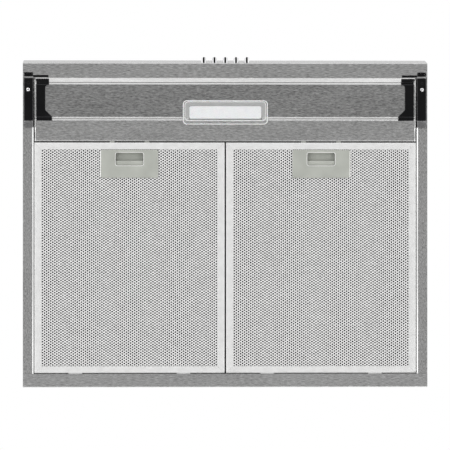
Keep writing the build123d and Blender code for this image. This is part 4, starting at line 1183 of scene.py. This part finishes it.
@dataclass
class Lamp:
    """The lamp: clear cover with two white beads on it that paint its edge highlights, surround, rounded opal
    diffuser, board and housing.
    """

    corner: float = 3.0 * MM
    edge: float = 0.8 * MM
    rim_corner: float = 5.5 * MM
    rim_radius: float = 0.6 * MM
    bead_radius: float = 0.42 * MM
    bead_inset: float = 3.0 * MM
    bead_front_inset: float = 2.25 * MM
    skin: float = 0.05 * MM
    fold_y: float = -150.2 * MM
    film: float = 0.25 * MM
    surround_line: Line = (
        (-178.4, 5.7), (-157.0, 5.7), (-156.0, 5.6), (-155.2, 5.3), (-154.4, 4.8), (-153.6, 3.95), (-152.9, 3.25)
    )

    def diffuser(self) -> Mesh:
        """Makes the diffuser a slab with rounded corners and soft edges.

        Returns:
            Its mesh.
        """
        low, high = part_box("lamp_diffuser")
        mesh = bmesh.new()
        add_block(mesh, low, high)
        upright = [e for e in mesh.edges if abs(e.verts[0].co.z - e.verts[1].co.z) > (high.z - low.z) / 2]
        round_off(mesh, upright, self.corner, steps=8, held=False)
        round_off(mesh, sharp_edges(mesh, above=60), self.edge, steps=5, held=False)
        return finished(mesh, "lamp_diffuser_round", smooth_below=30)

    def surround_level(self, y: float) -> float:
        """Follows the surround's line.

        Args:
            y: A place along Y.

        Returns:
            The line's height there.
        """
        points = [(place * MM, level * MM) for place, level in self.surround_line]
        for (y0, z0), (y1, z1) in zip(points, points[1:]):
            if y <= y1 + 1e-9:
                return z0 + (z1 - z0) * (y - y0) / (y1 - y0)
        return points[-1][1]

    def surround(self) -> Mesh:
        """Makes the pale film behind the cover, which follows the trough and leaves the diffuser free.

        Returns:
            Its mesh.
        """
        window_low, window_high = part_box("lamp_diffuser")
        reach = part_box("lamp_cover")[1].x - self.bead_inset
        window_ys = (window_low.y - self.film, window_high.y + self.film)
        stops = sorted({y * MM for y, z in self.surround_line} | set(window_ys))
        columns = [-reach, window_low.x - self.film, window_high.x + self.film, reach]
        mesh = bmesh.new()
        grid = [[mesh.verts.new((x, y, self.surround_level(y))) for x in columns] for y in stops]
        for row in range(len(stops) - 1):
            middle = (stops[row] + stops[row + 1]) / 2
            for column in range(3):
                if column == 1 and window_low.y < middle < window_high.y:
                    continue
                here, after = grid[row], grid[row + 1]
                face = mesh.faces.new((here[column], after[column], after[column + 1], here[column + 1]))
                face.normal_update()
                if face.normal.z > 0:
                    face.normal_flip()
        bmesh.ops.solidify(mesh, geom=mesh.faces[:], thickness=self.film)
        bmesh.ops.recalc_face_normals(mesh, faces=mesh.faces)
        return finished(mesh, "lamp_surround", smooth_below=25)

    def build(self, rims: TreeMaker) -> None:
        """Makes the diffuser, the surround and the cover's two white beads, painted highlights on its edges, and
        dresses the rest of the lamp.

        Args:
            rims: The rims' tree.
        """
        fit_piece("lamp_diffuser_round", self.diffuser(), OPAL, "hood", ("lamp_diffuser",))
        fit_piece("lamp_surround", self.surround(), SURROUND_PLASTIC, "hood")
        low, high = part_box("lamp_cover")
        radius = self.rim_radius
        # Two white beads on the cover: painted highlights along its rim and inner edge.
        for name, front, rear, reach, radius in (
            ("lamp_rim", low.y + radius, high.y - radius, high.x - radius, radius),
            ("lamp_bead", low.y + self.bead_front_inset, self.fold_y, high.x - self.bead_inset, self.bead_radius),
        ):
            middle = (0.0, (front + rear) / 2, low.z + radius + self.skin)
            bead = Bead(2 * reach, rear - front, self.rim_corner, radius, middle)
            bead.fit(rims, name, LAMP_RIM_HIGHLIGHT_PLASTIC, "hood", "lamp_clear")
        dress(CLEAR, "lamp_cover")
        dress(LAMP_BODY_PLASTIC, "lamp_housing")
        dress(BOARD, "led_board")


@dataclass
class Brackets:
    """The black corner brackets with the steel clips behind them."""

    rounding: float = 0.35 * MM
    clip_rounding: float = 0.7 * MM

    def build(self) -> None:
        """Rounds both brackets and both clips."""
        moulded = Softening("hood", "bracket_black", BRACKET_PLASTIC, self.rounding)
        pressed = Softening("hood", "clip_steel", CLIP_STEEL, self.clip_rounding, steps=4, held=True)
        for side, _ in SIDES:
            moulded.fit("corner_bracket_" + side)
            pressed.fit("bracket_clip_" + side)


@dataclass
class FilterFrame:
    """A filter's frame: four rolled channel bars mitred at the corners."""

    side: str
    sheet: float = 0.8 * MM
    lip: float = 10.4 * MM
    bend: float = 1.4 * MM
    seam: float = 0.07 * MM
    arc_steps: int = 5
    tab_spacing: float = 60 * MM
    tab_root: float = 1 * MM

    def arc(self, across: float, up: float, radius: float, start: float, end: float) -> list[Span]:
        """Distance and height of points on an arc round a centre, from one angle in degrees to another."""
        angles = [math.radians(start + (end - start) * step / self.arc_steps) for step in range(self.arc_steps + 1)]
        return [(across + radius * math.cos(angle), up + radius * math.sin(angle)) for angle in angles]

    def section(self, height: float) -> list[Span]:
        """The channel's section as distance from the outer face and height above the underside.

        Args:
            height: The channel's height.

        Returns:
            The closed outline.
        """
        half, bend = self.sheet / 2, self.bend
        tip, inner, top = self.lip - half, bend - self.sheet, height - bend
        return [
            *self.arc(bend, bend, bend, 270, 180),
            *self.arc(bend, top, bend, 180, 90),
            *self.arc(tip, height - half, half, 90, -90),
            *self.arc(bend, top, inner, 90, 180),
            *self.arc(bend, bend, inner, 180, 270),
            *self.arc(tip, half, half, 90, -90),
        ]

    def add_bars(self, mesh: WorkMesh, low: Vector, high: Vector) -> None:
        """Adds the four bars, each cut at 45 degrees at both ends.

        Args:
            mesh: The frame's mesh.
            low: The lowest corner of the four bars.
            high: Their highest corner.
        """
        middle, half = (low + high) / 2, (high - low) / 2
        for turn in range(4):
            along, reach = (half.x, half.y) if turn % 2 == 0 else (half.y, half.x)
            spin = Matrix.Translation((middle.x, middle.y, low.z)) @ Matrix.Rotation(turn * math.pi / 2, 4, "Z")
            ends = [
                [
                    spin @ Vector((end * (along - distance - self.seam), -(reach - distance), rise))
                    for distance, rise in self.section(high.z - low.z)
                ]
                for end in (-1, 1)
            ]
            add_bar(mesh, ends)
        bmesh.ops.recalc_face_normals(mesh, faces=mesh.faces)

    def add_tabs(self, mesh: WorkMesh, rear: float) -> None:
        """Adds the tongues that hang in the rear strip, where the CAD frame has them.

        Args:
            mesh: The bars' mesh.
            rear: The bars' rear face.
        """
        node_name = "filter_frame_" + self.side
        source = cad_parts[node_name].data
        tabs: list[list[Vector]] = []
        for place in sorted((v.co for v in source.vertices if v.co.y > rear + self.tab_root), key=tuple):
            if not tabs or place.x - tabs[-1][0].x > self.tab_spacing:
                tabs.append([])
            tabs[-1].append(place)
        for tab in tabs:
            xs, zs = [place.x for place in tab], [place.z for place in tab]
            low = Vector((min(xs), rear - self.tab_root, min(zs)))
            add_block(mesh, low, Vector((max(xs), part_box(node_name)[1].y, max(zs))))

    def build(self) -> None:
        """Makes the frame."""
        node_name = "filter_frame_" + self.side
        low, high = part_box(node_name)
        face_low, face_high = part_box("filter_face_mesh_" + self.side)
        fit = face_low.x - low.x
        mesh = bmesh.new()
        rear = face_high.y + fit
        self.add_bars(mesh, Vector((low.x, face_low.y - fit, low.z)), Vector((high.x, rear, high.z)))
        self.add_tabs(mesh, rear)
        name = "filter_frame_rolled_" + self.side
        mesh = finished(mesh, name, smooth_below=32)
        fit_piece(name, mesh, FRAME_ALUMINIUM, "filter_" + self.side, (node_name,))


@dataclass
class FilterMesh:
    """A filter's pierced face, inner layers and coarser back."""

    side: str
    column_pitch: float = 3.03 * MM
    row_pitch: float = 4.04 * MM
    hole_radius: float = 1.43 * MM
    wall_height: float = 0.5 * MM
    coarse: float = 2.0
    under_lip: float = 6.6 * MM
    latch_overlap: float = 1.0 * MM

    def build_sheet(self, sheets: TreeMaker, name: str, node_name: str, scale: float, finish: Finish) -> None:
        """Makes one pierced sheet.

        Args:
            sheets: The pierced sheets' tree.
            name: The piece's name.
            node_name: The CAD sheet whose place it takes.
            scale: How much coarser than the face it is.
            finish: Its finish.
        """
        low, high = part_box(node_name)
        pitch, row = self.column_pitch * scale, self.row_pitch * scale
        plate_low, plate_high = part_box("latch_plate_" + self.side)
        inset = Vector((self.latch_overlap, self.latch_overlap, 0.0))
        values = {
            "Columns": int((high.x - low.x - 2 * self.under_lip) / pitch),
            "Rows": int((high.y - low.y - 2 * self.under_lip) / row),
            "Column Pitch": pitch,
            "Row Pitch": row,
            "Cell Point": (pitch**2 + (row / 2) ** 2) / (2 * pitch),
            "Cell Shoulder": (pitch**2 - (row / 2) ** 2) / (2 * pitch),
            "Hole Radius": self.hole_radius * scale,
            "Wall Height": self.wall_height,
            "Middle": ((low.x + high.x) / 2, (low.y + high.y) / 2 - row / 4, low.z),
            "Cut Low": tuple(plate_low + inset),
            "Cut High": tuple(plate_high - inset),
        }
        mesh = sheets.run(name, finish, [], values)
        if sum(face.normal.z for face in mesh.polygons) > 0:
            mesh.flip_normals()
        fit_piece(name, mesh, finish, "filter_" + self.side, (node_name,))

    def build(self, sheets: TreeMaker) -> None:
        """Makes the face and the back and dresses the layers between them in near black, painted shade.

        Args:
            sheets: The pierced sheets' tree.
        """
        for place, scale, finish in (("face", 1.0, FACE_ALUMINIUM), ("back", self.coarse, BACK_ALUMINIUM)):
            name, node_name = f"pierced_{place}_{self.side}", f"filter_{place}_mesh_{self.side}"
            self.build_sheet(sheets, name, node_name, scale, finish)
        dress(SHADED_LAYER_ALUMINIUM, "filter_layers_" + self.side)


@dataclass
class Latch:
    """A filter's latch: plate with finger pocket, pale beads round the pocket and along the plate's outer edge that
    paint highlights, lid, slide and springs.
    """

    side: str
    sign: int
    rounding: float = 0.45 * MM
    pocket_width: float = 41.2 * MM
    pocket_depth: float = 19.1 * MM
    pocket_front: float = 4.0 * MM
    pocket_corner: float = 2.8 * MM
    rim_radius: float = 0.4 * MM
    rim_sunk: float = 0.22 * MM
    edge_width: float = 1.15 * MM
    edge_section: Line = ((1.0, 0.3), (0.0, -0.08), (0.0, 0.4), (1.0, 0.6))
    edge_overlap: float = 0.1 * MM
    edge_inset: float = 1.2 * MM
    spring_rounding: float = 0.15 * MM
    spring_play: float = 0.1 * MM
    draw: float = 5.5 * MM

    def build_edges(self, rims: TreeMaker, low: Vector, high: Vector) -> None:
        """Makes the pale bead round the finger pocket and the pale slanted strip on the plate's outer edge, both
        painted highlights.

        Args:
            rims: The rims' tree.
            low: The plate's lowest corner.
            high: Its highest corner.
        """
        radius = self.rim_radius
        middle = ((low.x + high.x) / 2, low.y + self.pocket_front + self.pocket_depth / 2, low.z + self.rim_sunk)
        width, depth = self.pocket_width + 2 * radius, self.pocket_depth + 2 * radius
        # Pale bead and strip: painted highlights on the pocket's rim and the plate's outer edge.
        bead = Bead(width, depth, self.pocket_corner + radius, radius, middle)
        bead.fit(rims, "latch_rim_" + self.side, LATCH_HIGHLIGHT_PLASTIC, "filter_" + self.side, "latch_grey")
        inner = (low.x if self.sign < 0 else high.x) - self.sign * self.edge_overlap
        section = [(inner + self.sign * share * self.edge_width, low.z + z * MM) for share, z in self.edge_section]
        name = "latch_edge_" + self.side
        mesh = straight_run(name, Grain.ALONG_Y, section, low.y + self.edge_inset, high.y - self.edge_inset)
        fit_piece(name, mesh, LATCH_HIGHLIGHT_PLASTIC, "filter_" + self.side)

    def fold_springs(self) -> None:
        """Rounds the springs and draws their front end back a little."""
        springs = "latch_springs_" + self.side
        wire = Softening("filter_" + self.side, "zinc_steel", ZINC, self.spring_rounding, steps=1, held=True)
        piece = wire.fit(springs, self.spring_play)
        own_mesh(piece)

    def build(self, rims: TreeMaker) -> None:
        """Rounds the plate and the slide, makes the edges and the springs and dresses the lid.

        Args:
            rims: The rims' tree.
        """
        self.build_edges(rims, *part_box("latch_plate_" + self.side))
        for kind, body in (("plate", "filter_"), ("slide", "latch_")):
            moulded = Softening(body + self.side, "latch_grey", LATCH_PLASTIC, self.rounding)
            moulded.fit(f"latch_{kind}_{self.side}")
        dress(LATCH_PLASTIC, "latch_lid_" + self.side)
        self.fold_springs()


@dataclass
class Buttons:
    """The five chrome push buttons and the switch block behind them."""

    count: int = 5

    def build(self) -> None:
        """Dresses the buttons and the block."""
        dress(BUTTON_CHROME, *(f"push_button_{number}" for number in range(1, self.count + 1)))
        dress(SWITCH_PLASTIC, "switch_block")


@dataclass
class Fan:
    """The fan unit, the duct collar and the electrical parts."""

    def build(self) -> None:
        """Dresses the fan, the collar and what is wired to them."""
        dress(FAN_PLASTIC, "blower_housing", "blower_lid", "inlet_guard")
        dress(WHEEL_PLASTIC, "impeller")
        dress(ZINC, "motor_shaft", "motor_mount")
        dress(MOTOR_PAINT, "motor")
        dress(COLLAR_PLASTIC, "duct_collar", "damper_flap_front", "damper_flap_rear", "cable_gland")
        dress(BOX_PLASTIC, "capacitor", "terminal_box")


# ---------------------------------------------------------------- floor, light and camera


@dataclass
class Studio:
    """The pale floor far below, the white surround, four soft lamps and the camera."""

    floor_level: float = -6.9
    floor_half: float = 6.0
    floor_shade: float = 0.62
    floor_roughness: float = 0.9
    floor_glow: float = 0.8
    surround: float = 0.5
    lamp_size: float = 2.5
    lamp_reach: float = 1.8
    lamp_level: float = -2.2
    lamp_powers: Span = (29.0, 24.0)
    eye: tuple[float, float, float] = (-0.1366, 0.0044, -5.2)
    target: tuple[float, float, float] = (-0.0006, 0.0044, 0.0)
    view_width: float = 0.6672
    view_depth: float = 100.0

    def world(self) -> None:
        """A surround that is white where it is seen or mirrored and softer where it lights."""
        world = bpy.data.worlds.new("surround")
        bpy.context.scene.world = world
        world.use_nodes = True
        sheet = NodeSheet(world.node_tree)
        background = sheet.tree.nodes["Background"]
        background.inputs["Color"].default_value = (1.0, 1.0, 1.0, 1.0)
        path = sheet.node("ShaderNodeLightPath").outputs
        seen = path["Is Camera Ray"]
        for name in ("Is Glossy Ray", "Is Transmission Ray"):
            seen = sheet.math("MAXIMUM", seen, path[name])
        strength = sheet.ramp(seen, (0.0, 1.0), (self.surround, 1.0))
        sheet.tree.links.new(strength, background.inputs["Strength"])

    def floor(self) -> None:
        """The floor, paler to the camera than to what mirrors it."""
        mesh = bpy.data.meshes.new("floor")
        corners = ((-1, -1), (1, -1), (1, 1), (-1, 1))
        places = [(x * self.floor_half, y * self.floor_half, self.floor_level) for x, y in corners]
        mesh.from_pydata(places, [], [(0, 1, 2, 3)])
        floor = add_object("floor", mesh)
        bench = Bench("floor_paint")
        bench.fix({"Base Color": (self.floor_shade,) * 3 + (1.0,), "Roughness": self.floor_roughness})
        seen = bench.node("ShaderNodeLightPath").outputs["Is Camera Ray"]
        share = bench.product(seen, self.floor_glow)
        glow = bench.node("ShaderNodeEmission").outputs[0]
        mix = bench.node("ShaderNodeMixShader", {0: share, 1: bench.shader.outputs[0], 2: glow})
        bench.tree.links.new(mix.outputs[0], bench.tree.nodes["Material Output"].inputs["Surface"])
        mesh.materials.append(bench.material)

    def lamps(self) -> None:
        """Four large square lamps, aimed at the hood from below, the two at the left a little stronger."""
        for (side, sign), power in zip(SIDES, self.lamp_powers):
            for end, step in (("front", -1), ("rear", 1)):
                name = f"soft_lamp_{side}_{end}"
                light = bpy.data.lights.new(name, "AREA")
                light.size = self.lamp_size
                light.energy = power
                lamp = add_object(name, light)
                lamp.location = Vector((sign * self.lamp_reach, step * self.lamp_reach, self.lamp_level))
                lamp.rotation_euler = (-lamp.location).to_track_quat("-Z", "Y").to_euler()

    def camera(self) -> None:
        """The camera, straight below and a little to the left, with the front edge at the top of the picture."""
        data = bpy.data.cameras.new("camera")
        eye, target = Vector(self.eye), Vector(self.target)
        ahead = (target - eye).normalized()
        right = ahead.cross(Vector((0.0, -1.0, 0.0))).normalized()
        up = right.cross(ahead)
        data.lens = data.sensor_width * (target - eye).length / self.view_width
        data.clip_end = self.view_depth
        camera = add_object("camera", data)
        camera.matrix_world = Matrix.Translation(eye) @ Matrix((right, up, -ahead)).transposed().to_4x4()
        bpy.context.scene.camera = camera

    def build(self) -> None:
        """Sets up the whole studio."""
        bpy.context.scene.view_settings.view_transform = "Standard"
        self.world()
        self.floor()
        self.lamps()
        self.camera()


def main() -> None:
    """Builds and dresses the hood, sub-assembly by sub-assembly, then the studio."""
    logging.basicConfig(level=logging.INFO, format="%(name)s %(message)s")
    Canopy().build(rivet_tree())
    Fixings().build(pan_screw_tree())
    EdgeTrims().build()
    rims = rim_tree()
    Lamp().build(rims)
    Brackets().build()
    Buttons().build()
    sheets = pierced_sheet_tree()
    for side, sign in SIDES:
        FilterFrame(side).build()
        FilterMesh(side).build(sheets)
        Latch(side, sign).build(rims)
    Fan().build()
    Studio().build()


if __name__ == "__main__":
    main()
